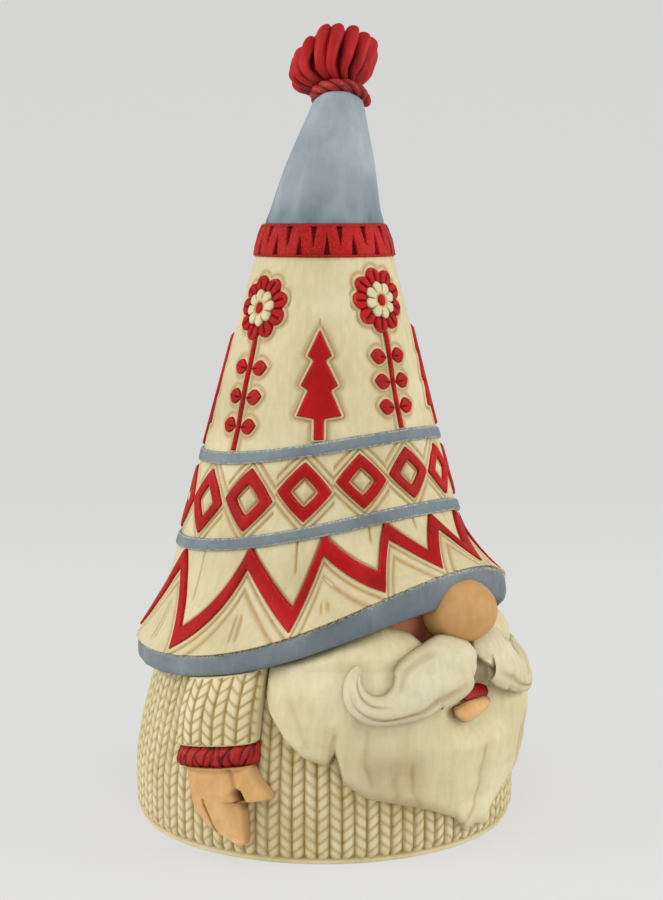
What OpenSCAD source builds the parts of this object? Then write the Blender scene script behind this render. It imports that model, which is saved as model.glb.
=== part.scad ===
// Standing tomte figurine: a knitted coat, a full beard with a curled moustache
// and a tall pointed hat with painted relief. Cast pieces, glued with pegs and seats.
// The face looks along -Y, the figure's right hand is at -X, and it stands on z = 0.

/* [Coat] */
// Widest radius of the coat
coat_r = 64.2; // [54:0.1:78]
// Height of the coat from the ground to the hat's edge at the back
coat_h = 59.5; // [50:0.5:72]
// Thickness of the coat's cast wall
coat_wall = 6; // [5:0.5:9]
// Height of the coat's shoulder above the hat's edge
shoulder_h = 10.7; // [8:0.1:13]
// Thickness of the felt under the foot
felt_t = 1.2; // [0.8:0.1:2]
// Thickness of the plug that closes the foot
plug_t = 4; // [3:0.5:6]

/* [Hat] */
// Height of the patterned cone, from its edge at the back to the collar's top
hat_h = 137.5; // [110:0.5:166]
// Height of the bare tip above the collar
tip_h = 41; // [30:0.5:50]
// Radius of the tip where the cord is tied
tip_r = 8.3; // [6:0.1:10]
// Thickness of the hat's cast wall
hat_wall = 4; // [3:0.5:5]
// How much higher the hat's edge stands over the face than at the back
brim_lift = 29.7; // [22:0.1:36]
// Distance of the hat's rolled edge inside the coat's widest radius, over the face
brim_inset = 2.9; // [1:0.1:5]
// Distance of the straight cone inside the coat's widest radius, at the back edge
cone_inset = 5.06; // [4:0.1:8]
// Height over which the hat's edge flares out
flare_h = 28; // [20:1:34]
// Height of the rolled edge at the back
trim_h = 7; // [5:0.5:9]
// How much taller the rolled edge is over the face
trim_more = 4.4; // [2:0.1:6]
// Width of the rolled edge across its thickness
trim_w = 5; // [4:0.1:6]
// Height of the ribbon below the bare tip
collar_h = 10.7; // [8:0.1:13]
// Height of the two plain bands
band_h = 3.9; // [3:0.1:5]
// How far the raised pattern stands out of the hat
relief_t = 0.9; // [0.6:0.1:1.4]
// How far the tip bends over
tip_bend = 9; // [0:0.1:10]

/* [Pattern] */
// Number of diamonds around the hat
diamonds_n = 14; // [10:1:16]
// Number of zigzag points around the hat
zigzag_n = 10; // [8:1:16]
// Number of flowers, and of trees
flowers_n = 4; // [3:1:5]
// Width of the zigzag's stroke
zigzag_w = 3.2; // [3:0.1:5]
// Radius of a flower
flower_r = 10.4; // [8:0.1:11]
// Room between a flower and the collar
flower_gap = 6.4; // [4:0.1:8]
// Radius of a flower's light heart
heart_r = 6.1; // [4:0.1:6.5]

/* [Face and arms] */
// Widest radius of the nose
nose_r = 12.8; // [10:0.1:15]
// Distance of the nose's centre in front of the face
nose_out = 5; // [4:0.1:8]
// Height of the nose's centre above the hat's edge at the back
nose_up = 15.8; // [13:0.1:18]
// Thickest part of the beard, over the coat
beard_t = 11; // [8:0.1:14]
// Thickest part of the moustache
moustache_t = 6; // [4:0.1:8]
// How far the sleeve stands out of the coat
sleeve_t = 8; // [6:0.1:10]
// How far the cuff stands out of the coat
cuff_t = 9; // [7:0.1:11]
// How far the hand stands out of the coat
hand_t = 7; // [5:0.1:9]

/* [Fits] */
// Radius of the locating pegs
peg_r = 3; // [2:0.1:4]
// Clearance around a peg, for the glue
peg_fit = 0.15; // [0.1:0.05:0.3]
// Length of a peg inside its hole
peg_in = 4; // [3:0.1:4.5]
// Gap of the glue line between cast pieces
glue = 0.15; // [0.1:0.05:0.4]

/* [Hidden] */
$fn = 72;
RING = 72;                        // columns of points around the hat
foot_r = 0.986 * coat_r;          // the rim that the coat stands on
neck_top = coat_h + brim_lift + 2.8;
shoulder_z = coat_h + shoulder_h;
cone_r0 = coat_r - cone_inset;
collar_z = coat_h + hat_h;        // top of the collar
tip_z = collar_z + tip_h;
taper = (cone_r0 - tip_r) / (tip_z - coat_h);
neck_r = cone(neck_top) - hat_wall - 1.3;
neck_wall = coat_wall - 1.5;
seat_r = cone(collar_z) - 2;      // seat under the collar
spigot_r = seat_r / 3;
spigot_h = collar_h - 3;
face_r = 0.8255 * coat_r;         // front of the cheeks
nose_rad = face_r + nose_out;
nose_z = coat_h + nose_up;
nose_low = nose_z - 0.83 * nose_r;    // the nose is wider than it is tall
bend_to = 100;                    // side that the tip bends to
tilt_to = 130;                    // side that its end is tilted to

// Height and radius of the coat's outline, from the foot to the shoulder
COAT = [
    [0, foot_r],
    [0.04 * coat_h, foot_r],
    [0.06 * coat_h, 0.998 * coat_r],
    [0.2 * coat_h, coat_r],
    [0.35 * coat_h, 0.997 * coat_r],
    [0.47 * coat_h, 0.978 * coat_r],
    [0.59 * coat_h, 0.956 * coat_r],
    [0.77 * coat_h, 0.911 * coat_r],
    [0.94 * coat_h, 0.857 * coat_r],
    [coat_h + 0.4 * shoulder_h, 0.802 * coat_r],
    [shoulder_z, 0.75 * coat_r]
];

// ---- rules that the shapes share ----

// Point at radius r, a degrees round from the face, at height z
function at(r, a, z) = [r * sin(a), -r * cos(a), z];

// 1 at the face, 0 at the back
function frontness(a) = (1 + cos(a)) / 2;

// Radius of the straight cone of the hat
function cone(z) = cone_r0 - taper * (z - coat_h);

// Height of the hat's edge, where the cone meets the rolled edge
function edge_z(a) = coat_h + brim_lift * pow(frontness(a), 3.5);

// Radius of the rolled edge, and its height
function brim_r(a) = coat_r - brim_inset * frontness(a);
function edge_h(a) = trim_h + trim_more * pow(frontness(a), 6);

// Top edges of the two plain bands
function band_low_z(a) = coat_h + 0.251 * hat_h + 14.5 * pow(frontness(a), 2);
function band_up_z(a) = coat_h + 0.458 * hat_h + 9.3 * pow(frontness(a), 2);

// Radius of the hat's surface: the cone and the flare above its edge
function hat_r(a, z) =
    let (up = max(0, 1 - (z - edge_z(a)) / flare_h))
    cone(z) + (brim_r(a) - cone(edge_z(a))) * up * up;

// Radius of the coat, and of the ground that the beard is laid on
function coat_rad(z) = lookup(z, COAT);
function chin_rad(z) = max(coat_rad(z), z > coat_h ? face_r : 0) + glue;

// Sideways bend of the hat's tip
function bend(z) = tip_bend * pow(max(0, z - collar_z) / tip_h, 1.6);

// Triangles over a grid of points, wound clockwise from outside
function grid_faces(rows, cols, round_rows, round_cols) = [
    for (r = [0 : rows - (round_rows ? 1 : 2)])
        for (c = [0 : cols - (round_cols ? 1 : 2)])
            let (
                a = r * cols + c,
                b = r * cols + (c + 1) % cols,
                d = ((r + 1) % rows) * cols + c,
                e = ((r + 1) % rows) * cols + (c + 1) % cols
            )
            each [[a, b, e], [a, e, d]]
];

// Solid of rings of points, from the first ring to the last, closed flat at both
module rings_solid(rings) {
    rows = len(rings);
    cols = len(rings[0]);
    first = [for (c = [cols - 1 : -1 : 0]) c];
    last = [for (c = [0 : cols - 1]) (rows - 1) * cols + c];
    polyhedron([for (r = rings) each r], concat(grid_faces(rows, cols, false, true), [first, last]));
}

// Endless band: each ring is one edge line around, and the last joins the first
module hoop(rings) {
    polyhedron([for (r = rings) each r], grid_faces(len(rings), len(rings[0]), true, true));
}

// Solid between an inner and an outer sheet of points, with walls round its border
module slab(inner, outer) {
    n = len(inner);
    m = len(inner[0]);
    o = n * m;
    sheet = grid_faces(n, m, false, false);
    faces = concat(
        [for (f = sheet) [f[0] + o, f[1] + o, f[2] + o]],
        [for (f = sheet) [f[2], f[1], f[0]]],
        [for (c = [0 : m - 2]) each [[c + 1 + o, c + o, c], [c + 1 + o, c, c + 1]]],
        [for (c = [0 : m - 2]) let (k = (n - 1) * m + c)
            each [[k + o, k + 1 + o, k + 1], [k + o, k + 1, k]]],
        [for (r = [0 : n - 2]) let (k = r * m)
            each [[k + o, k + m + o, k + m], [k + o, k + m, k]]],
        [for (r = [0 : n - 2]) let (k = r * m + m - 1)
            each [[k + m + o, k + o, k], [k + m + o, k, k + m]]]
    );
    polyhedron(concat([for (r = inner) each r], [for (r = outer) each r]), faces);
}

// Puts an upright flat drawing on the hat, a degrees round, and cuts it to the skin
module on_hat(a, from, to) {
    intersection() {
        rotate([0, 0, a])
            rotate([90, 0, 0])
                linear_extrude(height = coat_r)
                    children();
        difference() {
            rotate_extrude()
                polygon([
                    [0, from],
                    [cone(from) + relief_t, from],
                    [cone(to) + relief_t, to],
                    [0, to]
                ]);
            rotate_extrude()
                polygon([
                    [0, from - 1],
                    [cone(from - 1), from - 1],
                    [cone(to + 1), to + 1],
                    [0, to + 1]
                ]);
        }
    }
}

// Peg or hole along a radius, a degrees round at height z, between radii r1 and r2
module radial(r, a, z, r1, r2) {
    rotate([0, 0, a])
        translate([0, -r1, z])
            rotate([90, 0, 0])
                cylinder(r = r, h = r2 - r1);
}

// ---- foot and coat ----

plug_r = foot_r - coat_wall - 2;

module felt_pad() {
    color([0.23, 0.27, 0.22])
        cylinder(r = foot_r - 2.5, h = felt_t);
}

module foot_plug() {
    color([0.78, 0.74, 0.64])
        translate([0, 0, felt_t])
            cylinder(r = plug_r - glue, h = plug_t);
}

BEARD_PEGS = [30, -30];
ARM_AT = 80;

function arm_peg_z() = 0.71 * coat_h;
function beard_peg_z() = 0.62 * coat_h;

module coat() {
    ledge_z = felt_t + plug_t;
    hollow = [
        [0, ledge_z],
        [plug_r - 2, ledge_z],
        [coat_rad(ledge_z) - coat_wall - 2, ledge_z + 4],
        [coat_r - coat_wall, 0.3 * coat_h],
        [coat_rad(0.59 * coat_h) - coat_wall, 0.59 * coat_h],
        [coat_rad(0.94 * coat_h) - coat_wall, 0.94 * coat_h],
        [neck_r - neck_wall, shoulder_z - coat_wall],
        [neck_r - neck_wall, neck_top + 1],
        [0, neck_top + 1]
    ];
    color([0.86, 0.82, 0.62])
        difference() {
            rotate_extrude()
                polygon(concat(
                    [[0, 0]],
                    [for (p = COAT) [p[1], p[0]]],
                    [[neck_r, shoulder_z], [neck_r, neck_top], [0, neck_top]]
                ));
            rotate_extrude()
                polygon(hollow);
            translate([0, 0, -1])
                cylinder(r = foot_r - 2.5 + glue, h = felt_t + 1);
            cylinder(r = plug_r, h = ledge_z);
            for (a = BEARD_PEGS)
                radial(peg_r + peg_fit, a, beard_peg_z(), coat_rad(beard_peg_z()) - peg_in - 0.5, coat_r + 5);
            for (a = [-ARM_AT, ARM_AT])
                radial(peg_r + peg_fit, a, arm_peg_z(), coat_rad(arm_peg_z()) - peg_in - 0.5, coat_r + 5);
        }
}

// ---- face ----

FACE_HALF = 52;                   // half the angle that the face takes up

// Inner side of the hat's wall
function hat_in(a, z) = hat_r(a, z) - hat_wall;

module face() {
    cols = 26;
    rows = 8;
    bottom = coat_h + 0.42 * shoulder_h;
    step = shoulder_z + glue;
    top = neck_top - 2;
    // height and inner radius of each row: along the shoulder, then up the neck
    levels = concat(
        [[bottom, coat_rad(bottom) + glue], [step, coat_rad(shoulder_z) + glue]],
        [for (i = [0 : rows]) [step + 0.3 + (top - step - 0.3) * i / rows, neck_r + glue]]
    );
    function front(a, z) = z > edge_z(a) - 1 ? min(face_r, hat_in(a, z) - glue) : face_r;
    turns = [for (j = [0 : cols]) FACE_HALF * (2 * j / cols - 1)];
    down = [for (k = [len(levels) - 1 : -1 : 0]) levels[k]];
    color([0.80, 0.55, 0.42])
        difference() {
            slab(
                [for (p = down) [for (a = turns) at(p[1], a, p[0])]],
                [for (p = down) [for (a = turns) at(front(a, p[0]), a, p[0])]]
            );
            radial(peg_r + peg_fit, 0, nose_z, face_r - peg_in - 0.5, face_r + 5);
        }
}

// A wide ball whose back fits the face, and whose top is cut away under the hat's edge
module nose() {
    under_brim = trim_low_z(15) - 0.5;
    half = [for (t = [-90 : 7.5 : 90]) [nose_r * cos(t), (nose_z - nose_low) * sin(t)]];
    color([0.84, 0.62, 0.42])
        union() {
            difference() {
                translate(at(nose_rad, 0, nose_z))
                    rotate_extrude()
                        polygon(half);
                cylinder(r = face_r + glue, h = tip_z);
                translate([0, 0, under_brim])
                    cylinder(r = brim_r(0) + 0.8, h = tip_z);
            }
            radial(peg_r, 0, nose_z, face_r - peg_in, nose_rad);
        }
}

// ---- beard ----

BEARD_HALF = 64;                  // half the angle that the beard takes up
BEARD_COLS = 44;
BEARD_ROWS = 14;

// Lower edge of the beard by angle: a pointed middle lobe and a side lobe
BEARD_LOW = [
    [0, 0.10], [4, 0.09], [8, 0.18], [17, 0.255], [28, 0.32], [36, 0.36], [42, 0.44],
    [45, 0.58], [48, 0.53], [53, 0.57], [58, 0.65], [62, 0.78], [64, 0.90]
];

// Upper edge, above the back edge of the hat: low under the nose, then under the brim
BEARD_TOP = [[0, 2.5], [9, 2.5], [14.7, 9.4], [18, 12.3], [24, 14.6], [30, 15.5], [64, 15.5]];

function trim_low_z(a) = edge_z(a) - edge_h(a);
function beard_top(a) = min(coat_h + lookup(abs(a), BEARD_TOP), trim_low_z(a) - 0.4);
function beard_low(a) = coat_h * lookup(abs(a), BEARD_LOW);

// Thickness of the beard over the coat, by height
BEARD_FULL = [[0, 0.2], [0.25, 0.22], [0.4, 0.42], [0.55, 0.62], [0.8, 1], [0.95, 1], [1.08, 0.75], [1.3, 0.3]];

function beard_rad(a, z) =
    let (side = 1 - 0.75 * pow(min(1, abs(a) / BEARD_HALF), 4))
    chin_rad(z) + 0.5 + (beard_t - 0.5) * side * lookup(z / coat_h, BEARD_FULL);

module beard() {
    grid = [for (i = [0 : BEARD_ROWS]) [for (j = [0 : BEARD_COLS])
        let (
            a = BEARD_HALF * (2 * j / BEARD_COLS - 1),
            s = i / BEARD_ROWS,
            z = beard_top(a) * (1 - s) + beard_low(a) * s
        )
        [a, z, s]]];
    // the outer sheet rounds down towards the border
    function rounding(a, s) =
        let (e = min(s * 5, (1 - s) * 5, (1 - abs(a) / BEARD_HALF) * 9, 1))
        sqrt(1 - pow(1 - e, 2));
    color([0.90, 0.87, 0.74])
        union() {
            slab(
                [for (row = grid) [for (p = row) at(chin_rad(p[1]), p[0], p[1])]],
                [for (row = grid) [for (p = row)
                    let (inner = chin_rad(p[1]), outer = beard_rad(p[0], p[1]))
                    at(inner + 1 + (outer - inner - 1) * rounding(p[0], p[2]), p[0], p[1])]]
            );
            for (a = BEARD_PEGS)
                radial(peg_r, a, beard_peg_z(), coat_rad(beard_peg_z()) - peg_in, coat_rad(beard_peg_z()) + 2);
        }
}

// ---- moustache: a bulging strand that ends in an upward curl ----

// Centre line as angle, height over the nose's underside, half width, thickness share
MOUSTACHE = [
    [2.9, -5.5, 3, 0.6], [4.5, -4.5, 5, 0.9], [9, -3.9, 8, 1], [15, -5.8, 9.8, 1],
    [21, -8.5, 9.8, 1], [27, -11.4, 8.3, 0.95], [32, -13.5, 6.5, 0.9], [37, -13.8, 5, 0.85],
    [40, -11.7, 4.2, 0.8], [41, -8.8, 3.6, 0.7], [40, -5.5, 3, 0.6], [38.2, -3.1, 1.8, 0.4]
];
SECTION = 10;

module moustache(side) {
    n = len(MOUSTACHE);
    mid = [for (p = MOUSTACHE) [side * p[0] * coat_r * PI / 180, nose_low + p[1]]];
    loops = [for (i = [0 : n - 1])
        let (
            along = mid[min(n - 1, i + 1)] - mid[max(0, i - 1)],
            across = [-along[1], along[0]] / norm(along),
            half = MOUSTACHE[i][2],
            thick = MOUSTACHE[i][3] * moustache_t
        )
        [for (k = [0 : SECTION - 1])
            let (
                t = 360 * k / SECTION + 18,
                q = mid[i] + across * half * cos(t) * side,
                a = q[0] / (coat_r * PI / 180),
                ground = beard_rad(a, q[1]) + 0.4
            )
            at(ground + max(0, sin(t)) * thick, a, q[1])]];
    color([0.92, 0.89, 0.78])
        rings_solid(side > 0 ? loops : [for (l = loops) [for (k = [SECTION - 1 : -1 : 0]) l[k]]]);
}

module moustache_right() { moustache(-1); }
module moustache_left() { moustache(1); }

// ---- mouth ----

// Patch that follows the beard: a centre, half sizes, a bow and a thickness
module patch(z0, half_a, half_z, bow, thick) {
    rows = 6;
    cols = 12;
    grid = [for (i = [0 : rows]) [for (j = [0 : cols])
        let (
            x = 2 * j / cols - 1,
            y = 1 - 2 * i / rows,
            a = x * half_a,
            z = z0 + bow * x * x + half_z * y * sqrt(1 - 0.9 * x * x)
        )
        [a, z, sqrt(max(0, (1 - 0.9 * x * x) * (1 - 0.9 * y * y)))]]];
    slab(
        [for (row = grid) [for (p = row) at(beard_rad(p[0], p[1]) + 0.4, p[0], p[1])]],
        [for (row = grid) [for (p = row) at(beard_rad(p[0], p[1]) + 0.6 + thick * p[2], p[0], p[1])]]
    );
}

lip_z = 0.75 * coat_h;
lip_half_z = 2.3;
mouth_half_z = 2.6;

module mouth() {
    color([0.62, 0.12, 0.12])
        patch(lip_z + lip_half_z + mouth_half_z + 0.3, 4, mouth_half_z, 0.4, 0.4);
}

module lower_lip() {
    color([0.82, 0.58, 0.42])
        patch(lip_z, 9, lip_half_z, 1.2, 1.6);
}

// ---- arms: a sleeve, a cuff and a hand against the coat ----

// Sheet on the coat between heights, whose sides are given by angle
module arm_piece(side, rows, cols, top, low, left, right, thick, corner) {
    grid = [for (i = [0 : rows]) [for (j = [0 : cols])
        let (
            s = i / rows,
            t = j / cols,
            x = 2 * t - 1,
            a = left(s) + (right(s) - left(s)) * t,
            z = top(a) * (1 - s) + low(a) * s
        )
        [a, z, thick(s) * pow(1 - pow(abs(x), 2.6), 1 / 2.6)]]];
    mirrored = [for (row = grid) [for (j = [0 : cols])
        let (p = row[side < 0 ? j : cols - j])
        [-side * p[0], p[1], p[2]]]];
    slab(
        [for (row = mirrored) [for (p = row) at(coat_rad(p[1]) + glue, p[0], p[1])]],
        [for (row = mirrored) [for (p = row) at(coat_rad(p[1]) + glue + corner + p[2], p[0], p[1])]]
    );
}

// Line where the sleeve ends, higher towards the front
function cuff_line(a) = coat_h * (0.605 + 0.0028 * (a + ARM_AT));
cuff_h = 6.6;

module sleeve(side) {
    color([0.88, 0.84, 0.64])
        union() {
            arm_piece(
                side, 6, 12,
                function(a) trim_low_z(a) - 0.4,
                function(a) cuff_line(a),
                function(s) -ARM_AT - 14 + 0.5 * s,
                function(s) -ARM_AT + 14 - 0.5 * s,
                function(s) sleeve_t * (0.78 + 0.22 * sin(180 * s)),
                0.8
            );
            radial(peg_r, side * ARM_AT, arm_peg_z(), coat_rad(arm_peg_z()) - peg_in, coat_rad(arm_peg_z()) + 2);
        }
}

module sleeve_right() { sleeve(-1); }
module sleeve_left() { sleeve(1); }

module cuff(side) {
    color([0.74, 0.13, 0.12])
        arm_piece(
            side, 4, 12,
            function(a) cuff_line(a) - glue,
            function(a) cuff_line(a) - cuff_h,
            function(s) -ARM_AT - 14,
            function(s) -ARM_AT + 14,
            function(s) cuff_t * (0.85 + 0.15 * sin(180 * s)),
            0.8
        );
}

module cuff_right() { cuff(-1); }
module cuff_left() { cuff(1); }

// The hand's two sides by how far down it is: the thumb juts out at the front
HAND_BACK = [[0, -10], [0.35, -7.5], [0.6, -5], [0.8, -1.5], [0.93, 3], [1, 6]];
HAND_FRONT = [[0, 12.5], [0.25, 16], [0.42, 18.5], [0.52, 18.5], [0.6, 12], [0.8, 12], [1, 11.5]];

module hand(side) {
    color([0.84, 0.64, 0.45])
        arm_piece(
            side, 10, 10,
            function(a) cuff_line(a) - cuff_h - glue,
            function(a) 0.105 * coat_h,
            function(s) -ARM_AT + lookup(s, HAND_BACK),
            function(s) -ARM_AT + lookup(s, HAND_FRONT),
            function(s) hand_t * (1 - 0.45 * s),
            1
        );
}

module hand_right() { hand(-1); }
module hand_left() { hand(1); }

// ---- hat ----

function around(f) = [for (c = [0 : RING - 1]) f(360 * c / RING)];

module hat_cone() {
    flare_rows = 6;
    collar_low = collar_z - collar_h;
    wall_top = collar_low - hat_wall;
    outer = concat(
        [around(function(a) at(seat_r, a, collar_z))],
        [around(function(a) at(seat_r, a, collar_low))],
        [around(function(a) at(cone(collar_low), a, collar_low))],
        [around(function(a) at(cone(band_up_z(a)), a, band_up_z(a)))],
        [around(function(a) at(cone(band_low_z(a)), a, band_low_z(a)))],
        [for (i = [1 : flare_rows]) around(function(a)
            let (
                s = pow(i / flare_rows, 0.8),
                z = band_low_z(a) * (1 - s) + edge_z(a) * s
            )
            at(hat_r(a, z), a, z))]
    );
    inner = concat(
        [for (i = [0 : 4]) around(function(a)
            let (z = edge_z(a) + (neck_top - edge_z(a)) * i / 4)
            at(hat_in(a, z), a, z))],
        [around(function(a) at(neck_r - neck_wall - 0.6, a, neck_top))],
        [around(function(a) at(cone(wall_top) - hat_wall - 2, a, wall_top))]
    );
    color([0.90, 0.86, 0.70])
        difference() {
            rings_solid(concat(outer, inner));
            translate([0, 0, collar_z - spigot_h - 0.5])
                cylinder(r = spigot_r + peg_fit, h = spigot_h + 1);
        }
}

// Rolled edge, round in section, hung under the cone's edge
module hat_brim_edge() {
    half = trim_w / 2;
    section = [for (t = [0 : 30 : 330])
        [half * sign(cos(t)) * pow(abs(cos(t)), 0.6), sign(sin(t)) * pow(abs(sin(t)), 0.6)]];
    color([0.44, 0.49, 0.56])
        hoop([for (p = section) around(function(a)
            at(brim_r(a) + 0.4 - half + p[0], a, edge_z(a) - 0.05 + edge_h(a) / 2 * (p[1] - 1)))]);
}

// Raised hoop around the cone between two height lines
module hoop_on_cone(top, height, thick) {
    hoop([
        around(function(a) at(hat_r(a, top(a)) + glue, a, top(a))),
        around(function(a) at(hat_r(a, top(a)) + thick, a, top(a) - 0.4)),
        around(function(a) at(hat_r(a, top(a) - height) + thick, a, top(a) - height + 0.4)),
        around(function(a) at(hat_r(a, top(a) - height) + glue, a, top(a) - height))
    ]);
}

module hat_band_lower() {
    color([0.44, 0.49, 0.56])
        hoop_on_cone(function(a) band_low_z(a), band_h, relief_t + 0.2);
}

module hat_band_upper() {
    color([0.44, 0.49, 0.56])
        hoop_on_cone(function(a) band_up_z(a), band_h, relief_t + 0.2);
}

// Red zigzag between the rolled edge and the lower band. Its points stand closer
// over the face, and its lower points lean towards the face.
module hat_zigzag() {
    steps = 5;
    n = 2 * zigzag_n * steps;
    close = 0.5;                  // how much closer the points stand over the face
    first = 0.09;                 // share of a period at which a top point stands
    // how far the lower points lean towards the face, by angle
    lean = [[0, 0], [28, 0.23], [58, 0.13], [78, 0.1], [100, -0.17], [125, 0], [180, 0]];
    function turns(a) = zigzag_n / 360 * (a + close * 180 / PI * sin(a)) - first;
    function low_at(a) = 0.5 - sign(a) * lookup(abs(a), lean);
    // 0 at a top point, 1 at a bottom point
    function saw(a) =
        let (q = turns(a), f = q - floor(q), m = low_at(a))
        f < m ? f / m : (1 - f) / (1 - m);
    function line(a, off) =
        let (
            top = band_low_z(a) - band_h - 1,
            low = edge_z(a) + 1,
            half = PI * 0.85 * coat_r / (zigzag_n * (1 + close * cos(a))),
            slope = (top - low - 1.6 * zigzag_w) / half,
            stroke = zigzag_w * sqrt(1 + slope * slope),
            z = top - (top - low - stroke) * saw(a)
        )
        z - off * stroke;
    // angles spread so that every half period has the same number of steps
    function spread(q, a = 0, i = 0) =
        i == 14 ? a : spread(q, (q + first) * 360 / zigzag_n - close * 180 / PI * sin(a), i + 1);
    ring = [for (off = [[0, glue], [0, relief_t], [1, relief_t], [1, glue]])
        [for (c = [0 : n - 1])
            let (a = spread(c / (2 * steps) - zigzag_n / 2), z = line(a, off[0]))
            at(hat_r(a, z) + off[1], a, z)]];
    color([0.72, 0.10, 0.11])
        hoop(ring);
}

// Red diamond frames between the two bands
module hat_diamonds() {
    pitch = 360 / diamonds_n;
    first = -56;
    for (i = [0 : diamonds_n - 1]) {
        a = first + i * pitch;
        top = band_up_z(a) - band_h;
        low = band_low_z(a);
        mid = (top + low) / 2;
        half_h = (top - low) / 2 - 1.6;
        half_w = PI / diamonds_n * cone(mid) - 0.7;
        color([0.72, 0.10, 0.11])
            on_hat(a, low - 2, top + 2)
                translate([0, mid])
                    difference() {
                        polygon([[half_w, 0], [0, half_h], [-half_w, 0], [0, -half_h]]);
                        polygon(0.53 * [[half_w, 0], [0, half_h], [-half_w, 0], [0, -half_h]]);
                    }
    }
}

TREE_AT = -50;

// Lowest and highest point of the tall pattern between the upper band and the collar
function panel_low(a) = band_up_z(a) + 0.8;
function panel_h(a) = collar_z - collar_h - panel_low(a);

// Fir tree of three tiers on a trunk
module hat_trees() {
    for (i = [0 : flowers_n - 1]) {
        a = TREE_AT + i * 360 / flowers_n;
        h = 0.6 * panel_h(a);
        w = 0.22 * h;
        side = [
            [0.22 * w, 0], [0.22 * w, 0.19 * h], [w, 0.215 * h], [0.5 * w, 0.448 * h],
            [0.82 * w, 0.493 * h], [0.26 * w, 0.718 * h], [0.53 * w, 0.767 * h], [0, h]
        ];
        color([0.76, 0.09, 0.10])
            on_hat(a, panel_low(a) - 2, panel_low(a) + h + 2)
                translate([0, panel_low(a)])
                    polygon(concat(side, [for (k = [len(side) - 2 : -1 : 0]) [-side[k][0], side[k][1]]]));
    }
}

function flower_at(i) = TREE_AT + (i + 0.5) * 360 / flowers_n;
function flower_z(a) =
    collar_z - collar_h - flower_r - flower_gap + 0.35 * (band_up_z(a) - band_up_z(180));

// Leaf outline: two arcs that meet in points
function leaf(l, w) = [for (t = [0 : 30 : 330]) [l / 2 * (1 + cos(t)), w / 2 * sin(t) * abs(sin(t))]];

module flower_stems() {
    stem_w = 1.7;
    leaf_l = 6.2;
    leaf_w = 5;
    pairs = 3;
    for (i = [0 : flowers_n - 1]) {
        a = flower_at(i);
        low = panel_low(a);
        top = flower_z(a) - flower_r - 0.3;
        color([0.70, 0.11, 0.12])
            on_hat(a, low - 1, top + 1) {
                translate([-stem_w / 2, low])
                    square([stem_w, top - low]);
                for (k = [0 : pairs - 1])
                    for (side = [0, 1])
                        translate([0, low + (top - low) * (0.2 + 0.27 * k)])
                            mirror([side, 0])
                                rotate(8)
                                    translate([stem_w / 2 + 0.5, 0])
                                        polygon(leaf(leaf_l, leaf_w));
            }
    }
}

// Round flower outline with n petals between an inner and an outer radius
function petals(n, r_in, r_out) = [for (t = [0 : 360 / (6 * n) : 359.9])
    (r_in + (r_out - r_in) * pow(abs(sin(n * t / 2)), 0.6)) * [cos(t), sin(t)]];

module flower_layer(r_in, r_out, n, hole) {
    for (i = [0 : flowers_n - 1]) {
        a = flower_at(i);
        on_hat(a, flower_z(a) - flower_r - 2, flower_z(a) + flower_r + 2)
            translate([0, flower_z(a)])
                difference() {
                    polygon(petals(n, r_in, r_out));
                    circle(r = hole);
                }
    }
}

eye_r = 0.3 * heart_r;

module flower_petals() {
    color([0.72, 0.10, 0.11])
        flower_layer(0.82 * flower_r, flower_r, 9, heart_r + glue);
}

module flower_hearts() {
    color([0.91, 0.87, 0.72])
        flower_layer(0.78 * heart_r, heart_r, 8, eye_r + glue);
}

module flower_eyes() {
    color([0.72, 0.10, 0.11])
        for (i = [0 : flowers_n - 1]) {
            a = flower_at(i);
            on_hat(a, flower_z(a) - flower_r, flower_z(a) + flower_r)
                translate([0, flower_z(a)])
                    circle(r = eye_r);
        }
}

// Ribbon with wedge notches from above and below, which leave a zigzag
module hat_collar() {
    out = 1.5;
    notches = 16;
    low = collar_z - collar_h;
    notch_h = 0.55 * collar_h;
    notch_w = 0.42 * 2 * PI * cone(low) / notches;
    color([0.66, 0.10, 0.11])
        difference() {
            rotate_extrude()
                polygon([
                    [seat_r + glue, low],
                    [cone(low) + out, low],
                    [cone(collar_z) + out, collar_z],
                    [seat_r + glue, collar_z]
                ]);
            for (i = [0 : notches - 1])
                for (up = [0, 1])
                    rotate([0, 0, (i + up / 2) * 360 / notches])
                        translate([0, -cone(low) + 0.2, up ? collar_z - 1 : low + 1])
                            mirror([0, 0, up])
                                rotate([90, 0, 0])
                                    linear_extrude(height = 6)
                                        polygon([[-notch_w / 2, 0], [notch_w / 2, 0], [0, notch_h]]);
        }
}

// Bare tip that bends to one side, on a spigot in the cone
module hat_tip() {
    rows = 8;
    tip_rings = [for (i = [0 : rows]) around(function(a)
        let (z = tip_z - tip_h * i / rows, r = cone(z))
        at(r, a, z) + at(bend(z), bend_to, 0) - [0, 0, r * cos(a - tilt_to) * bend_slope(z)])];
    color([0.58, 0.63, 0.69])
        union() {
            rings_solid(tip_rings);
            translate([0, 0, collar_z - spigot_h])
                cylinder(r = spigot_r, h = spigot_h + 0.5);
        }
}

// How much a ring tilts where the tip is bent
function bend_slope(z) = 1.9 * tip_bend / tip_h * pow(max(0, z - collar_z) / tip_h, 1.3);

tip_tilt = atan(bend_slope(tip_z));
tip_end = at(bend(tip_z), bend_to, 0) + [0, 0, tip_z];

// Everything tied on the tip is set on its bent end
module on_tip() {
    translate(tip_end)
        rotate([0, 0, tilt_to - 90])
            rotate([0, tip_tilt, 0])
                rotate([0, 0, 90 - tilt_to])
                    children();
}

cord_r = 2.1;
FALL_TO = -137;

module pompom_cord() {
    color([0.55, 0.09, 0.10])
        on_tip()
            translate([0, 0, cord_r + glue])
                rotate_extrude()
                    translate([tip_r - cord_r + 1.4, 0])
                        circle(r = cord_r, $fn = 32);
}

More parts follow.
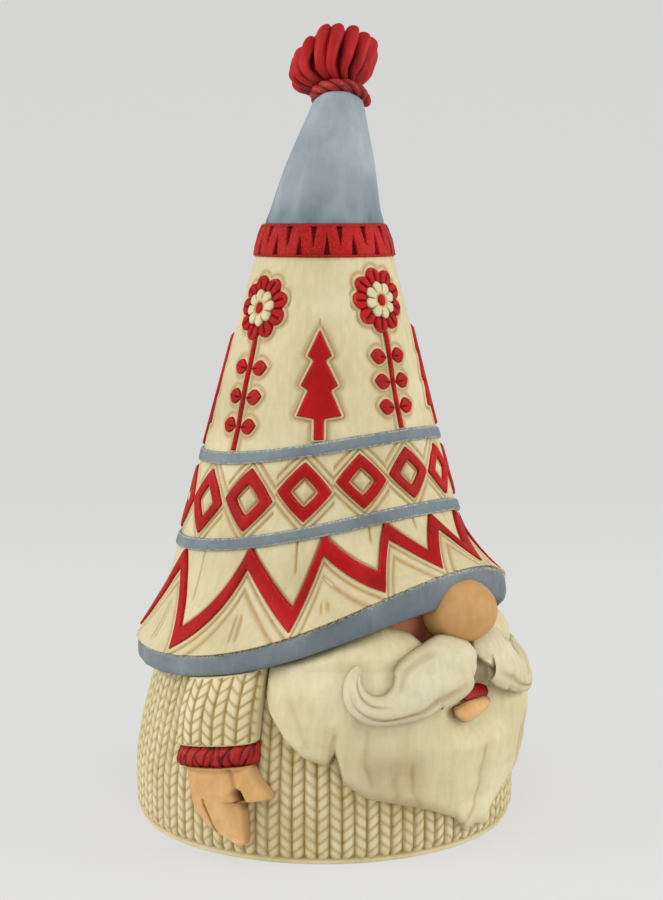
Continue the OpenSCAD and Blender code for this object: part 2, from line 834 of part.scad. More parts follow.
// Tuft of thick strands that opens upward
module pompom() {
    strands = 11;
    cols = 6 * strands;
    rows = 9;
    tuft_h = 21.5;
    neck = tip_r - 2 * cord_r + 1.2;
    wide = 14;
    bound = (2 * cord_r + 3 * glue) / tuft_h;    // share of the tuft inside the cord
    function open(s) = neck + (wide - neck) * pow(sin(90 * min(1, max(0, s - bound) * 3)), 0.8);
    // the tuft falls to the side that the tip leans away from
    function fall(s) = 3.2 * sin(90 * min(1, max(0, s - bound) * 3.5)) - 1.2 * s * s;
    function crown(s) = s < 0.8 ? 1 : sqrt(max(0.05, 1 - pow((s - 0.8) / 0.2, 2) * 0.8));
    color([0.70, 0.12, 0.14])
        on_tip()
            rings_solid([for (i = [0 : rows]) [for (c = [0 : cols - 1])
                let (
                    s = i == rows ? 0 : 1 - (1 - bound) * i / (rows - 1),
                    a = 360 * c / cols,
                    lobe = 1 - 0.11 * min(1, 2 * s) * pow(abs(cos(strands * a / 2)), 6),
                    r = open(s) * crown(s) * lobe
                )
                at(r, a, glue + tuft_h * s) + at(fall(s), FALL_TO, 0)]]);
}

felt_pad();
foot_plug();
coat();
face();
nose();
beard();
moustache_right();
moustache_left();
mouth();
lower_lip();
sleeve_right();
cuff_right();
hand_right();
sleeve_left();
cuff_left();
hand_left();
hat_cone();
hat_brim_edge();
hat_band_lower();
hat_band_upper();
hat_zigzag();
hat_diamonds();
hat_trees();
flower_stems();
flower_petals();
flower_hearts();
flower_eyes();
hat_collar();
hat_tip();
pompom_cord();
pompom();
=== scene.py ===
# %% [markdown]
# # A painted tomte figurine, piece by piece
# A tomte is the gnome that looks after a Scandinavian farm. This one is cast in resin from a model
# that was carved by hand, then painted and rubbed with a brown wash, which stays in every groove.
# The measured model is loaded first. Its boxes give the driving sizes below, and each visible piece is then
# made again around it with the carved and painted detail that the measured pieces leave out.

# %% Load the measured model
import math

import bpy
import numpy as np
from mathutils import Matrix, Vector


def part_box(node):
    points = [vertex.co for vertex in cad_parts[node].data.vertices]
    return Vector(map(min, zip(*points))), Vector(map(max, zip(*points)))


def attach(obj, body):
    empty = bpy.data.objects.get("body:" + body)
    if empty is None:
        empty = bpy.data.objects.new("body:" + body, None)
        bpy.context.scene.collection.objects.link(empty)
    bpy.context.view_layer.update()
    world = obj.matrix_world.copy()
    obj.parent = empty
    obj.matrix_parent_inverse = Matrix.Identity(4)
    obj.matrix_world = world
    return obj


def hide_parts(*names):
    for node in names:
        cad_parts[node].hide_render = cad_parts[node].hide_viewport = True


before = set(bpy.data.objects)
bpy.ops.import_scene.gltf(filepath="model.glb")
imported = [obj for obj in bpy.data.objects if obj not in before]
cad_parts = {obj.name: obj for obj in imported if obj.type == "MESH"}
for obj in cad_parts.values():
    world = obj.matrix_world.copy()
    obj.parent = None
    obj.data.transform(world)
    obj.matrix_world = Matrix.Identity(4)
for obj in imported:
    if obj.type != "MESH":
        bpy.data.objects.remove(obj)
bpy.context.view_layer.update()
print("measured pieces:", len(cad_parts))

# %% [markdown]
# ## Camera, floor and light
# The figurine is seen from its right front, a little from above, through a long lens, which keeps the
# hat's edges straight. Product pictures are lit by a tent: wide soft boxes on both sides, and a pale
# floor that curves up all round. A round dish does the same and works from every side. Its paper glows a
# little, as a backlit one does, which evens out the tone behind the figurine.

# %% Camera
MM = 0.001
TURN = math.radians(-47.5)
DISTANCE = 600 * MM
SIDESTEP = 2.4 * MM
LOOK_DOWN = math.radians(7.438)
CAMERA_HIGH = 199.8 * MM
lens = bpy.data.cameras.new("long lens")
lens.sensor_fit = "VERTICAL"
lens.sensor_height = 36
lens.lens = 72
camera = bpy.data.objects.new("camera", lens)
camera.location = (
    SIDESTEP * math.cos(TURN) + DISTANCE * math.sin(TURN),
    SIDESTEP * math.sin(TURN) - DISTANCE * math.cos(TURN),
    CAMERA_HIGH,
)
camera.rotation_euler = (math.pi / 2 - LOOK_DOWN, 0, TURN)
bpy.context.scene.collection.objects.link(camera)
bpy.context.scene.camera = camera
bpy.context.scene.view_settings.view_transform = "Standard"
print("camera at", [round(v, 3) for v in camera.location])


# %% A surface from a grid of points
def smooth_mesh(name, corners, faces, sharp_over=None):
    """Mesh object from corner points in metres and lists of corner numbers.

    Faces are shaded smooth, and edges that bend by more than sharp_over degrees stay sharp.
    """
    name = name.replace(" ", "_")
    mesh = bpy.data.meshes.new(name)
    mesh.from_pydata(corners.tolist(), [], faces)
    mesh.shade_smooth()
    if sharp_over:
        mesh.set_sharp_from_angle(angle=math.radians(sharp_over))
    made = bpy.data.objects.new(name, mesh)
    bpy.context.scene.collection.objects.link(made)
    return made


# %% Floor that curves up all round
DISH_FLAT = 0.9
DISH_WALL = 1.1
DISH_RISE = 1.6
DISH_RINGS = 60
DISH_SIDES = 96
across = np.linspace(0.001, 1, DISH_RINGS)[:, None]
turn = np.linspace(0, 2 * np.pi, DISH_SIDES + 1)[None, :-1]
dish_r = (DISH_FLAT + DISH_WALL) * across
dish_z = DISH_RISE * np.clip((dish_r - DISH_FLAT) / DISH_WALL, 0, 1) ** 2
dish = np.stack(np.broadcast_arrays(dish_r * np.cos(turn), dish_r * np.sin(turn), dish_z), -1)
spot = np.arange(DISH_RINGS * DISH_SIDES).reshape(DISH_RINGS, DISH_SIDES)
dish_faces = np.stack(
    [spot[:-1], np.roll(spot, -1, 1)[:-1], np.roll(spot, -1, 1)[1:], spot[1:]], -1
)[:, :, ::-1]
dish_faces = dish_faces.reshape(-1, 4).tolist() + [spot[0].tolist()]
floor = smooth_mesh("floor", dish.reshape(-1, 3), dish_faces)
floor_paint = bpy.data.materials.new("floor paper")
floor_paint.use_nodes = True
paper = floor_paint.node_tree.nodes["Principled BSDF"]
paper.inputs["Base Color"].default_value = (0.22, 0.22, 0.215, 1)
paper.inputs["Emission Color"].default_value = (1, 1, 0.99, 1)
paper.inputs["Emission Strength"].default_value = 0.52
paper.inputs["Roughness"].default_value = 0.9
paper.inputs["Specular IOR Level"].default_value = 0.1
floor.data.materials.append(floor_paint)
print("floor dish", round(2 * dish_r.max(), 2), "m wide")

# %% Soft boxes
world = bpy.data.worlds.new("tent")
world.use_nodes = True
world.node_tree.nodes["Background"].inputs["Color"].default_value = (1, 1, 1, 1)
world.node_tree.nodes["Background"].inputs["Strength"].default_value = 0.42
bpy.context.scene.world = world
AIM_HIGH = 0.13


def soft_box(name, side, height, distance, width, power):
    """Square light aimed at the figurine's middle; side is the angle from the camera's view line."""
    data = bpy.data.lights.new(name, "AREA")
    data.size = width
    data.energy = power
    box = bpy.data.objects.new(name, data)
    way = TURN + math.radians(side)
    box.location = (distance * math.sin(way), -distance * math.cos(way), height)
    aim = math.atan2(height - AIM_HIGH, distance)
    box.rotation_euler = (math.pi / 2 - aim, 0, way)
    box.visible_camera = False
    bpy.context.scene.collection.objects.link(box)
    return box


soft_box("left soft box", -72, 0.42, 0.75, 0.6, 3.6)
soft_box("right soft box", 78, 0.40, 0.75, 0.6, 3.2)
soft_box("top soft box", 10, 0.95, 0.45, 0.7, 2.4)

# %% [markdown]
# ## The paint
# Every surface is matt hand paint over resin: a colour brushed on unevenly, a brown wash that settles
# in the grooves, and thin paint on the high edges. Where parts meet, under overhangs and between the tuft's
# strands, the same darker colour is put in as painted shade. One recipe makes them all. Each piece carries
# two values at every point, the wash and shade mark and the worn mark, that its own shape works out, and
# the recipe mixes by them.


# %% Shader building
def srgb(red, green, blue):
    """Screen colour, 0 to 255, as linear light: ((v + 0.055) / 1.055) to the power 2.4."""
    return tuple(((v / 255 + 0.055) / 1.055) ** 2.4 for v in (red, green, blue)) + (1,)


def add(tree, kind, inputs=None, **settings):
    """Adds a shader node: settings are its choices, inputs its values or links by socket."""
    made = tree.nodes.new("ShaderNode" + kind)
    for name, value in settings.items():
        setattr(made, name, value)
    for name, value in (inputs or {}).items():
        if isinstance(value, bpy.types.NodeSocket):
            tree.links.new(value, made.inputs[name])
        else:
            made.inputs[name].default_value = value
    return made


def noise(tree, place, stretch, scale, detail):
    """Cloudy value 0 to 1 from Object coordinates, stretched per axis before it is scaled."""
    spread = add(tree, "Mapping", {"Vector": place, "Scale": stretch})
    inputs = {"Vector": spread.outputs[0], "Scale": scale, "Detail": detail}
    return add(tree, "TexNoise", inputs).outputs["Fac"]


def mixed(tree, share, first, second):
    """Colour between first and second by a share from 0 to 1."""
    node = add(tree, "Mix", {0: share, 6: first, 7: second}, data_type="RGBA")
    return node.outputs[2]


def span(tree, value, low, high, out_low, out_high):
    """Value carried from the span low..high to the span out_low..out_high, held at its ends."""
    inputs = {"Value": value, "From Min": low, "From Max": high, "To Min": out_low, "To Max": out_high}
    return add(tree, "MapRange", inputs).outputs[0]


def times(tree, first, second):
    """Product of two values, held between 0 and 1."""
    node = add(tree, "Math", {0: first, 1: second}, operation="MULTIPLY")
    node.use_clamp = True
    return node.outputs[0]


# %% The recipe for paint
CLOUD_SCALE = 55
STREAK_SCALE = 520
GRAIN_SCALE = 1500
BRUSH_DEPTH = 0.00025


def painted(name, tones, wash, rough=0.55, streak=(1, 1, 0.25), worn=None, gloss=0.22):
    """Matt paint: three tones by a broad cloud, brush streaks over them, wash with painted shade, and worn
    paint.

    colour = tones by cloud x (1 + streaks), then the wash and shade colour by the wash and shade mark x
    streaks, then worn colour by worn x grain; roughness follows the streaks, bump follows streaks and
    grain. gloss is how much the surface mirrors. The wash and shade mark is brown wash in grooves, and on
    some pieces painted shade.
    """
    material = bpy.data.materials.new(name)
    material.use_nodes = True
    tree = material.node_tree
    shader = tree.nodes["Principled BSDF"]
    place = add(tree, "TexCoord").outputs["Object"]
    cloud = noise(tree, place, (1, 1, 1), CLOUD_SCALE, 5)
    streaks = noise(tree, place, streak, STREAK_SCALE, 4)
    grain = noise(tree, place, (1, 1, 1), GRAIN_SCALE, 3)
    ramp = add(tree, "ValToRGB", {"Fac": cloud})
    ramp.color_ramp.elements[0].position = 0.28
    ramp.color_ramp.elements[0].color = tones[0]
    ramp.color_ramp.elements[1].position = 0.72
    ramp.color_ramp.elements[1].color = tones[2]
    ramp.color_ramp.elements.new(0.5).color = tones[1]
    brushed = add(
        tree, "HueSaturation",
        {"Color": ramp.outputs[0], "Value": span(tree, streaks, 0.3, 0.7, 0.94, 1.05)},
    ).outputs[0]
    wash_and_shade_mark = add(tree, "Attribute", attribute_name="wash").outputs["Fac"]
    colour = mixed(tree, times(tree, wash_and_shade_mark, span(tree, streaks, 0.3, 0.7, 0.7, 1.2)), brushed, wash)
    if worn:
        rubbed = add(tree, "Attribute", attribute_name="worn").outputs["Fac"]
        colour = mixed(tree, times(tree, rubbed, span(tree, grain, 0.42, 0.6, 0, 1)), colour, worn)
    tree.links.new(colour, shader.inputs["Base Color"])
    shader.inputs["Specular IOR Level"].default_value = gloss
    tree.links.new(span(tree, streaks, 0.3, 0.7, rough + 0.07, rough - 0.07), shader.inputs["Roughness"])
    both = add(tree, "Math", {0: streaks, 1: grain}, operation="ADD")
    bump = add(tree, "Bump", {"Height": both.outputs[0], "Strength": 0.35, "Distance": BRUSH_DEPTH})
    tree.links.new(bump.outputs[0], shader.inputs["Normal"])
    return material


# %% The colours of this figurine
def three_tones(*colours):
    """Dark, middle and light tone of one paint."""
    return [srgb(*colour) for colour in colours]


BROWN = srgb(168, 134, 70)
OLIVE = srgb(148, 124, 60)
UMBER = srgb(150, 118, 70)
SIENNA = srgb(112, 72, 36)
DEEP_RED = srgb(74, 12, 10)
CREAM = srgb(222, 212, 180)
RED = three_tones((140, 6, 8), (164, 10, 14), (184, 20, 24))
HAT = three_tones((196, 182, 140), (206, 193, 153), (215, 204, 168))
BAND = three_tones((98, 108, 114), (112, 122, 128), (128, 137, 141))
TIP = three_tones((128, 140, 150), (147, 157, 160), (160, 169, 171))
KNIT = three_tones((206, 190, 142), (219, 204, 160), (229, 216, 177))
BEARD = three_tones((206, 193, 149), (215, 203, 162), (224, 214, 178))
MOUSTACHE = three_tones((192, 180, 142), (204, 194, 158), (216, 207, 176))
NOSE = three_tones((184, 136, 80), (198, 151, 94), (212, 170, 114))
SKIN = three_tones((204, 154, 96), (219, 174, 118), (230, 190, 138))
CHEEK = three_tones((176, 94, 74), (194, 112, 86), (206, 134, 102))
CUFF = three_tones((140, 22, 18), (168, 34, 28), (186, 54, 44))
CORD = three_tones((120, 20, 18), (150, 30, 26), (176, 48, 42))
TUFT = three_tones((146, 12, 14), (170, 18, 20), (190, 36, 36))
# Several wash colours here also serve as painted shade: the band paint's dark grey under the rolled edge,
# the cheek paint's brown beside the nose, the nose paint's sienna under the nose, the tip paint's blue-grey
# at its foot and the tuft paint's near black between the strands.
paint = {
    "hat": painted("cream hat paint", HAT, BROWN),
    "red": painted("red pattern paint", RED, DEEP_RED, worn=srgb(196, 70, 52), gloss=0.14),
    "band": painted("blue band paint", BAND, srgb(70, 72, 68), streak=(1, 1, 0.6), worn=CREAM),
    "tip": painted("blue tip paint", TIP, srgb(92, 104, 116), streak=(1, 1, 0.12)),
    "knit": painted("knit paint", KNIT, OLIVE),
    "beard": painted("beard paint", BEARD, UMBER, streak=(1, 1, 0.18)),
    "moustache": painted("moustache paint", MOUSTACHE, UMBER, streak=(1, 1, 0.18)),
    "nose": painted("nose paint", NOSE, SIENNA, rough=0.5),
    "skin": painted("skin paint", SKIN, SIENNA, rough=0.5),
    "cheek": painted("cheek paint", CHEEK, srgb(104, 60, 40), rough=0.5),
    "mouth": painted("mouth paint", RED, DEEP_RED, rough=0.45),
    "cuff": painted("cuff paint", CUFF, DEEP_RED, worn=srgb(206, 96, 80)),
    "cord": painted("cord paint", CORD, srgb(52, 10, 9), worn=srgb(200, 92, 80)),
    "tuft": painted("tuft paint", TUFT, srgb(56, 5, 7), streak=(1, 1, 0.1)),
}
print("paints:", len(paint))

# %% [markdown]
# ## Felt and foot
# Under the figurine a felt pad keeps the table from scratches, and a rough cast disc closes the hollow
# coat. Both have their true shape in the measured model already, so they only get a finish.


# %% Felt and raw casting
def plain(name, dark, light, scale, rough, depth):
    """Unpainted stuff: two tones and a bump from one fine noise."""
    material = bpy.data.materials.new(name)
    material.use_nodes = True
    tree = material.node_tree
    shader = tree.nodes["Principled BSDF"]
    place = add(tree, "TexCoord").outputs["Object"]
    fibre = noise(tree, place, (1, 1, 1), scale, 6)
    colour = mixed(tree, span(tree, fibre, 0.35, 0.65, 0, 1), dark, light)
    tree.links.new(colour, shader.inputs["Base Color"])
    shader.inputs["Roughness"].default_value = rough
    bump = add(tree, "Bump", {"Height": fibre, "Strength": 0.8, "Distance": depth})
    tree.links.new(bump.outputs[0], shader.inputs["Normal"])
    return material


felt = plain("green felt", srgb(58, 66, 52), srgb(84, 94, 74), 1800, 0.95, 0.0006)
raw_cast = plain("raw casting", srgb(196, 188, 166), srgb(214, 206, 186), 300, 0.8, 0.0003)
for name, finish in (("felt_pad", felt), ("foot_plug", raw_cast)):
    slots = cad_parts[name].data.materials
    slots.clear()
    slots.append(finish)
    print(name, "is finished in", finish.name)

# %% [markdown]
# ## Sizes and rules that the pieces share
# The hat is a straight cone with a flare at its edge. The edge and both bands rise towards the face.
# All of it is written as radius and height by angle, where 0 is the face and a positive angle goes to
# the figure's left. The driving sizes are read from the boxes of the measured pieces.


# %% Sizes from the measured model
def size_box(name):
    """Lowest and highest corner of a measured piece in millimetres."""
    low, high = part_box(name)
    return np.array(low) / MM, np.array(high) / MM


COAT_HIGH = size_box("coat")[1]
TRIM_LOW, TRIM_HIGH = size_box("hat_brim_edge")
COLLAR_LOW, COLLAR_HIGH = size_box("hat_collar")
NOSE_HIGH = size_box("nose")[1]
TRIM_H = 7.0
TRIM_MORE = 4.4
BRIM_INSET = 2.9
TRIM_W = 5.0
TIP_H = 41.0
TIP_R = 8.3
BAND_H = 3.9
GLUE = 0.15
WALL = 4.0
SHOULDER_UP = 10.7
coat_r = COAT_HIGH[0]
coat_h = TRIM_LOW[2] + TRIM_H + 0.05
brim_lift = TRIM_HIGH[2] - coat_h + 0.05
collar_z = COLLAR_HIGH[2]
collar_h = collar_z - COLLAR_LOW[2]
collar_low = collar_z - collar_h
hat_h = collar_z - coat_h
tip_z = collar_z + TIP_H
nose_r = NOSE_HIGH[0]
cone_r0 = coat_r - 5.06
taper = (cone_r0 - TIP_R) / (tip_z - coat_h)
foot_r = 0.986 * coat_r
face_r = 0.8255 * coat_r
shoulder_z = coat_h + SHOULDER_UP
neck_top = coat_h + brim_lift + 2.8
print("coat", coat_r.round(2), coat_h.round(2), "hat", hat_h.round(2), "lift", brim_lift.round(2))


# %% Shared formulas
def at(radius, angle, height):
    """Point at a radius from the axis, an angle from the face and a height (mm, degrees)."""
    way = np.radians(angle)
    return np.stack(np.broadcast_arrays(radius * np.sin(way), -radius * np.cos(way), height), -1)


def frontness(angle):
    """1 at the face and 0 at the back: half of 1 plus the cosine."""
    return (1 + np.cos(np.radians(angle))) / 2


def cone(height):
    """Radius of the straight cone."""
    return cone_r0 - taper * (height - coat_h)


def edge_z(angle):
    """Height of the hat's edge: the lift times frontness to the power 3.5."""
    return coat_h + brim_lift * frontness(angle) ** 3.5


def brim_r(angle):
    """Radius of the rolled edge, a little less over the face."""
    return coat_r - BRIM_INSET * frontness(angle)


def edge_h(angle):
    """Height of the rolled edge, taller over the face by frontness to the power 6."""
    return TRIM_H + TRIM_MORE * frontness(angle) ** 6


def band_low_z(angle):
    """Top of the lower band."""
    return coat_h + 0.251 * hat_h + 14.5 * frontness(angle) ** 2


def band_up_z(angle):
    """Top of the upper band."""
    return coat_h + 0.458 * hat_h + 9.3 * frontness(angle) ** 2


def hat_r(angle, height):
    """Cone, plus the flare, which grows with a power of the nearness to the edge, less the waist.

    The waist is a shallow hollow between edge and collar, deepest low on the hat and over the face.
    """
    near = np.clip(1 - (height - edge_z(angle)) / (28 - 6 * frontness(angle)), 0, 1)
    share = np.clip((height - edge_z(angle)) / (collar_low - edge_z(angle)), 0, 1)
    waist = (0.7 + 1.7 * frontness(angle)) * np.sin(np.pi * share**0.5)
    return cone(height) + (brim_r(angle) - cone(edge_z(angle))) * near**2.2 - waist


PROFILE_Z = np.array([
    0, 0.04, 0.06, 0.2, 0.35, 0.47, 0.59, 0.77, 0.94, 1 + 4.28 / coat_h, shoulder_z / coat_h,
])
PROFILE_R = np.array([0.986, 0.986, 0.998, 1, 0.997, 0.978, 0.956, 0.911, 0.857, 0.802, 0.75])


def coat_rad(height):
    """Radius of the coat: the outline's corners joined by straight lines."""
    return coat_r * np.interp(height, PROFILE_Z * coat_h, PROFILE_R)


def round_rad(height):
    """The same with its corners eased: the mean over a few millimetres above the rim."""
    eased = np.mean([coat_rad(height + step) for step in (-3, -1.5, 0, 1.5, 3)], axis=0)
    return np.where(height > 0.12 * coat_h, eased, coat_rad(height))


# %% Helpers for carving
def dip(value, place, width):
    """Soft bell: 1 where value equals place, falling to a third one width away."""
    return np.exp(-(((value - place) / width) ** 2))


def rise(value, low, high):
    """Soft step from 0 at low to 1 at high."""
    share = np.clip((value - low) / (high - low), 0, 1)
    return share * share * (3 - 2 * share)


def scatter(column, row, seed):
    """Repeatable number from 0 to 1 for a cell: the broken part of a large sine."""
    value = np.sin(column * 127.1 + row * 311.7 + seed * 74.7) * 43758.5453
    return value - np.floor(value)


def scoops(x, y, depth, seed=0, around=None):
    """Knife scoops on a plane measured in cells, which meet in ridges.

    Each cell has one centre that is shifted by scatter. The height is minus depth at a centre and
    grows with the square of the distance to the nearest centre. around closes the columns in a ring.
    """
    nearest = np.full(np.broadcast(x, y).shape, 9.0)
    for step_x in (-1, 0, 1):
        for step_y in (-1, 0, 1):
            column = np.floor(x) + step_x
            row = np.floor(y) + step_y
            cell = column % around if around else column
            centre_x = column + 0.15 + 0.7 * scatter(cell, row, seed)
            centre_y = row + 0.15 + 0.7 * scatter(cell, row, seed + 5)
            nearest = np.minimum(nearest, (x - centre_x) ** 2 + (y - centre_y) ** 2)
    return depth * (np.minimum(nearest, 1) - 1)


def wobble(angle, seed, size):
    """Slow unevenness of a hand-cut line: five sines around the figure with scattered phases."""
    total = 0
    for k in (3, 5, 8, 13, 21):
        total = total + np.sin(np.radians(k * angle) + 6.28 * scatter(k, seed, 1)) / k**0.5
    return size * total / 2


def to_line(x, y, line):
    """Distance from points to a broken line, the least over its pieces."""
    nearest = np.full(np.broadcast(x, y).shape, 1e9)
    for (x0, y0), (x1, y1) in zip(line[:-1], line[1:]):
        run = (x1 - x0) ** 2 + (y1 - y0) ** 2
        share = np.clip(((x - x0) * (x1 - x0) + (y - y0) * (y1 - y0)) / run, 0, 1)
        nearest = np.minimum(nearest, (x - x0 - share * (x1 - x0)) ** 2 + (y - y0 - share * (y1 - y0)) ** 2)
    return np.sqrt(nearest)


def inside(x, y, outline):
    """Signed distance to a closed outline, positive inside it.

    A point is inside where a level ray from it crosses the outline an odd number of times.
    """
    closed = list(outline) + [outline[0]]
    odd = np.zeros(np.broadcast(x, y).shape, bool)
    for (x0, y0), (x1, y1) in zip(closed[:-1], closed[1:]):
        if y0 != y1:
            odd ^= ((y0 > y) != (y1 > y)) & (x < (x1 - x0) * (y - y0) / (y1 - y0) + x0)
    return np.where(odd, 1, -1) * to_line(x, y, closed)


# %% Casting a piece from loops
pieces = []


def cast(name, points, stands_for, finish, slot, ring=False, sharp=None, **marks):
    """Makes one closed piece from islands x loops x points round each loop, in millimetres.

    Neighbouring loops are joined by four-sided faces and each loop closes on itself. The last loop
    joins the first in a ring, and otherwise a point in the middle closes each end. The sum of the
    corner products of all faces is six times the volume, and where it is negative the faces are
    turned round, so that they look outward. marks give the wash and shade mark and the worn mark at every
    point; the wash and shade mark is brown wash, and on some pieces painted shade.
    """
    points = np.asarray(points, float)
    points = points.reshape((-1,) + points.shape[-3:])
    islands, loops, around = points.shape[:3]
    spots = np.arange(islands * loops * around).reshape(islands, loops, around)
    near = spots if ring else spots[:, :-1]
    far = np.roll(spots, -1, 1) if ring else spots[:, 1:]
    quads = np.stack([near, np.roll(near, -1, 2), np.roll(far, -1, 2), far], -1).reshape(-1, 4)
    corners = points.reshape(-1, 3) * MM
    triangles = np.zeros((0, 3), int)
    if not ring:
        ends = np.concatenate([points[:, 0].mean(1), points[:, -1].mean(1)]) * MM
        middle = len(corners) + np.arange(2 * islands).reshape(2, islands, 1)
        middle = np.broadcast_to(middle, (2, islands, around))
        first = np.stack([np.roll(spots[:, 0], -1, 1), spots[:, 0], middle[0]], -1)
        last = np.stack([spots[:, -1], np.roll(spots[:, -1], -1, 1), middle[1]], -1)
        triangles = np.concatenate([first.reshape(-1, 3), last.reshape(-1, 3)])
        corners = np.concatenate([corners, ends])
    halves = np.concatenate([quads[:, [0, 1, 2]], quads[:, [0, 2, 3]], triangles])
    a, b, c = (corners[halves[:, k]] - corners.mean(0) for k in range(3))
    if np.einsum("ij,ij->", a, np.cross(b, c)) < 0:
        quads = quads[:, ::-1]
        triangles = triangles[:, ::-1]
    made = smooth_mesh(name, corners, quads.tolist() + triangles.tolist(), sharp)
    for mark in ("wash", "worn"):
        value = np.broadcast_to(marks.get(mark, 0.0), points.shape[:3]).reshape(islands, loops, around)
        flat = value.reshape(-1)
        if not ring:
            flat = np.concatenate([flat, value[:, 0].mean(1), value[:, -1].mean(1)])
        stored = made.data.attributes.new(mark, "FLOAT", "POINT")
        stored.data.foreach_set("value", np.clip(flat, 0, 1).astype(np.float32))
    made.data.materials.append(paint[finish])
    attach(made, "root")
    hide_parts(stands_for)
    pieces.append(made)
    print(name, "triangles", len(halves))
    return made


# %% [markdown]
# ## The coat
# The coat is a squat barrel with a knitted skin: upright flat strips with a gold-brown line between
# them and short slanted stitches that mirror from strip to strip. A displacement texture would blur at
# this size, so the strips are real grooves: six columns of points per strip, and a few rows per stitch.

# %% Knit pattern
STRIPS = 102
STITCH = 3.5


def knit(strip, height, slope=0.9):
    """Relief and wash of the knit; strip counts strips sideways, height is in millimetres.

    A narrow groove lies where strip is whole. Between grooves, stitches repeat along the height,
    slanted up to one side and then to the other in turn.
    """
    share = strip - np.floor(strip)
    lean = np.where(np.floor(strip) % 2 == 0, slope, -slope)
    groove = dip(np.minimum(share, 1 - share), 0, 0.13)
    step = height / STITCH + lean * (share - 0.5) + 0.3 * scatter(np.floor(strip), 0, 3)
    stitch = dip(step - np.floor(step), 0.5, 0.15) * rise(share, 0.02, 0.2) * rise(1 - share, 0.02, 0.2)
    relief = 0.2 * np.sin(np.pi * share) - 0.65 * groove - 0.2 * stitch
    return relief, np.clip(1.0 * groove + 0.75 * stitch, 0, 1)


# %% Coat
COLUMN_SHARES = np.array([0, 0.12, 0.3, 0.5, 0.7, 0.88])
strip = (np.arange(STRIPS)[:, None] + COLUMN_SHARES).reshape(-1)[None]
angle = strip / STRIPS * 360 - 180
RIM_Z = 0.027 * coat_h
height = np.concatenate([np.array([0, 0.3, 0.7, 1.1]), np.linspace(RIM_Z, shoulder_z, 140)])[:, None]
relief, wash = knit(strip, height)
shown = rise(height, RIM_Z - 0.1, RIM_Z + 0.4) * rise(shoulder_z - height, 0, 2)
radius = round_rad(height) - 0.2 + relief * shown
radius = radius - 0.4 * dip(height, RIM_Z, 0.35) - 0.35 * dip(height, 0, 0.3)
outer = at(radius, angle, height + 0 * angle)
plug_r = foot_r - 8
neck_r = cone(neck_top) - WALL - 1.3
inner = [
    (neck_r, shoulder_z + 0.1), (neck_r, neck_top),
    (neck_r - 4.5, neck_top), (neck_r - 4.5, shoulder_z - 6),
    (0.857 * coat_r - 6, 0.94 * coat_h), (coat_r - 6, 0.3 * coat_h), (plug_r - 2, 5.3), (plug_r, 5.2),
    (plug_r, 1.3), (foot_r - 2.35, 1.3), (foot_r - 2.35, 0),
]
lining = np.stack([at(r, angle[0], z) for r, z in inner])
coat_wash = np.concatenate([wash * shown + 0.5 * dip(height, RIM_Z, 0.5), np.zeros(lining.shape[:2])])
cast("knit coat", np.concatenate([outer, lining]), "coat", "knit", "knit_paint", ring=True, wash=coat_wash)

# %% [markdown]
# ## Sleeves, cuffs and hands
# Each arm hangs flat against the coat. All three parts are pads: a grid over the coat whose middle is
# raised, closed at the back along the coat. The left arm is the right one mirrored, by changing the
# sign of the angle, so the two can't differ by mistake.

# %% Pads on the coat
ARM_AT = 80
CUFF_H = 6.6
PAD_BACK = 9


def pad(top, low, left, right, thick, corner, rows, columns):
    """Grid of angle, height and bulge for a pad: s runs down it, t across it.

    The bulge is thick(s) times (1 - |x| to the power 2.6) to the power 1/2.6, x from -1 to 1.
    """
    s = np.linspace(0, 1, rows)[:, None]
    t = np.linspace(0, 1, columns)[None]
    x = 2 * t - 1
    angle = left(s) + (right(s) - left(s)) * t
    height = top(angle) * (1 - s) + low(angle) * s
    bulge = thick(s) * (1 - np.abs(x) ** 2.6) ** (1 / 2.6) + corner
    return angle, height, bulge, s, t


def close_pad(name, side, angle, height, lift, nodes, finish, slot, wash, worn=0.0):
    """Casts a pad: the outer sheet at the coat plus lift, and a back sheet on the coat."""
    back = np.linspace(1, 0, PAD_BACK)[None]
    last = angle.shape[1] - 1
    pick = np.round(back[0] * last).astype(int)
    outer = at(round_rad(height) + GLUE + lift, side * angle, height)
    behind = at(coat_rad(height[:, pick]) + GLUE, side * angle[:, pick], height[:, pick])
    points = np.concatenate([outer, behind], 1)
    bare = np.zeros(behind.shape[:2])
    wash = np.concatenate([np.broadcast_to(wash, angle.shape), bare], 1)
    worn = np.concatenate([np.broadcast_to(worn, angle.shape), bare], 1)
    return cast(name, points, nodes, finish, slot, wash=wash, worn=worn)


def trim_low_z(angle):
    """Underside of the rolled edge."""
    return edge_z(angle) - edge_h(angle)


def cuff_line(angle):
    """Line between sleeve and cuff, higher towards the front."""
    return coat_h * (0.605 + 0.0028 * (angle + ARM_AT))


# %% Sleeves
SLEEVE_STRIPS = 8
angle, height, lift, s, t = pad(
    lambda a: trim_low_z(a) - 0.4, cuff_line, lambda s: -94 + 0.5 * s, lambda s: -66 - 0.5 * s,
    lambda s: 8 * (0.78 + 0.22 * np.sin(np.pi * s)), 0.8, 130, 98,
)
relief, wash = knit(t * SLEEVE_STRIPS + 0.5, height, 0.8)
shown = rise(t, 0, 0.04) * rise(1 - t, 0, 0.04) * rise(s, 0, 0.02) * rise(1 - s, 0, 0.03)
# Brown wash in the knit's grooves; the sleeve also darkens along its lower edge, against the cuff, as
# painted shade where the two meet.
for side, which in ((1, "right"), (-1, "left")):
    close_pad("sleeve " + which, side, angle, height, lift + 0.8 * relief * shown, "sleeve_" + which,
              "knit", "knit_paint", wash * shown + 0.4 * dip(s, 1, 0.03))

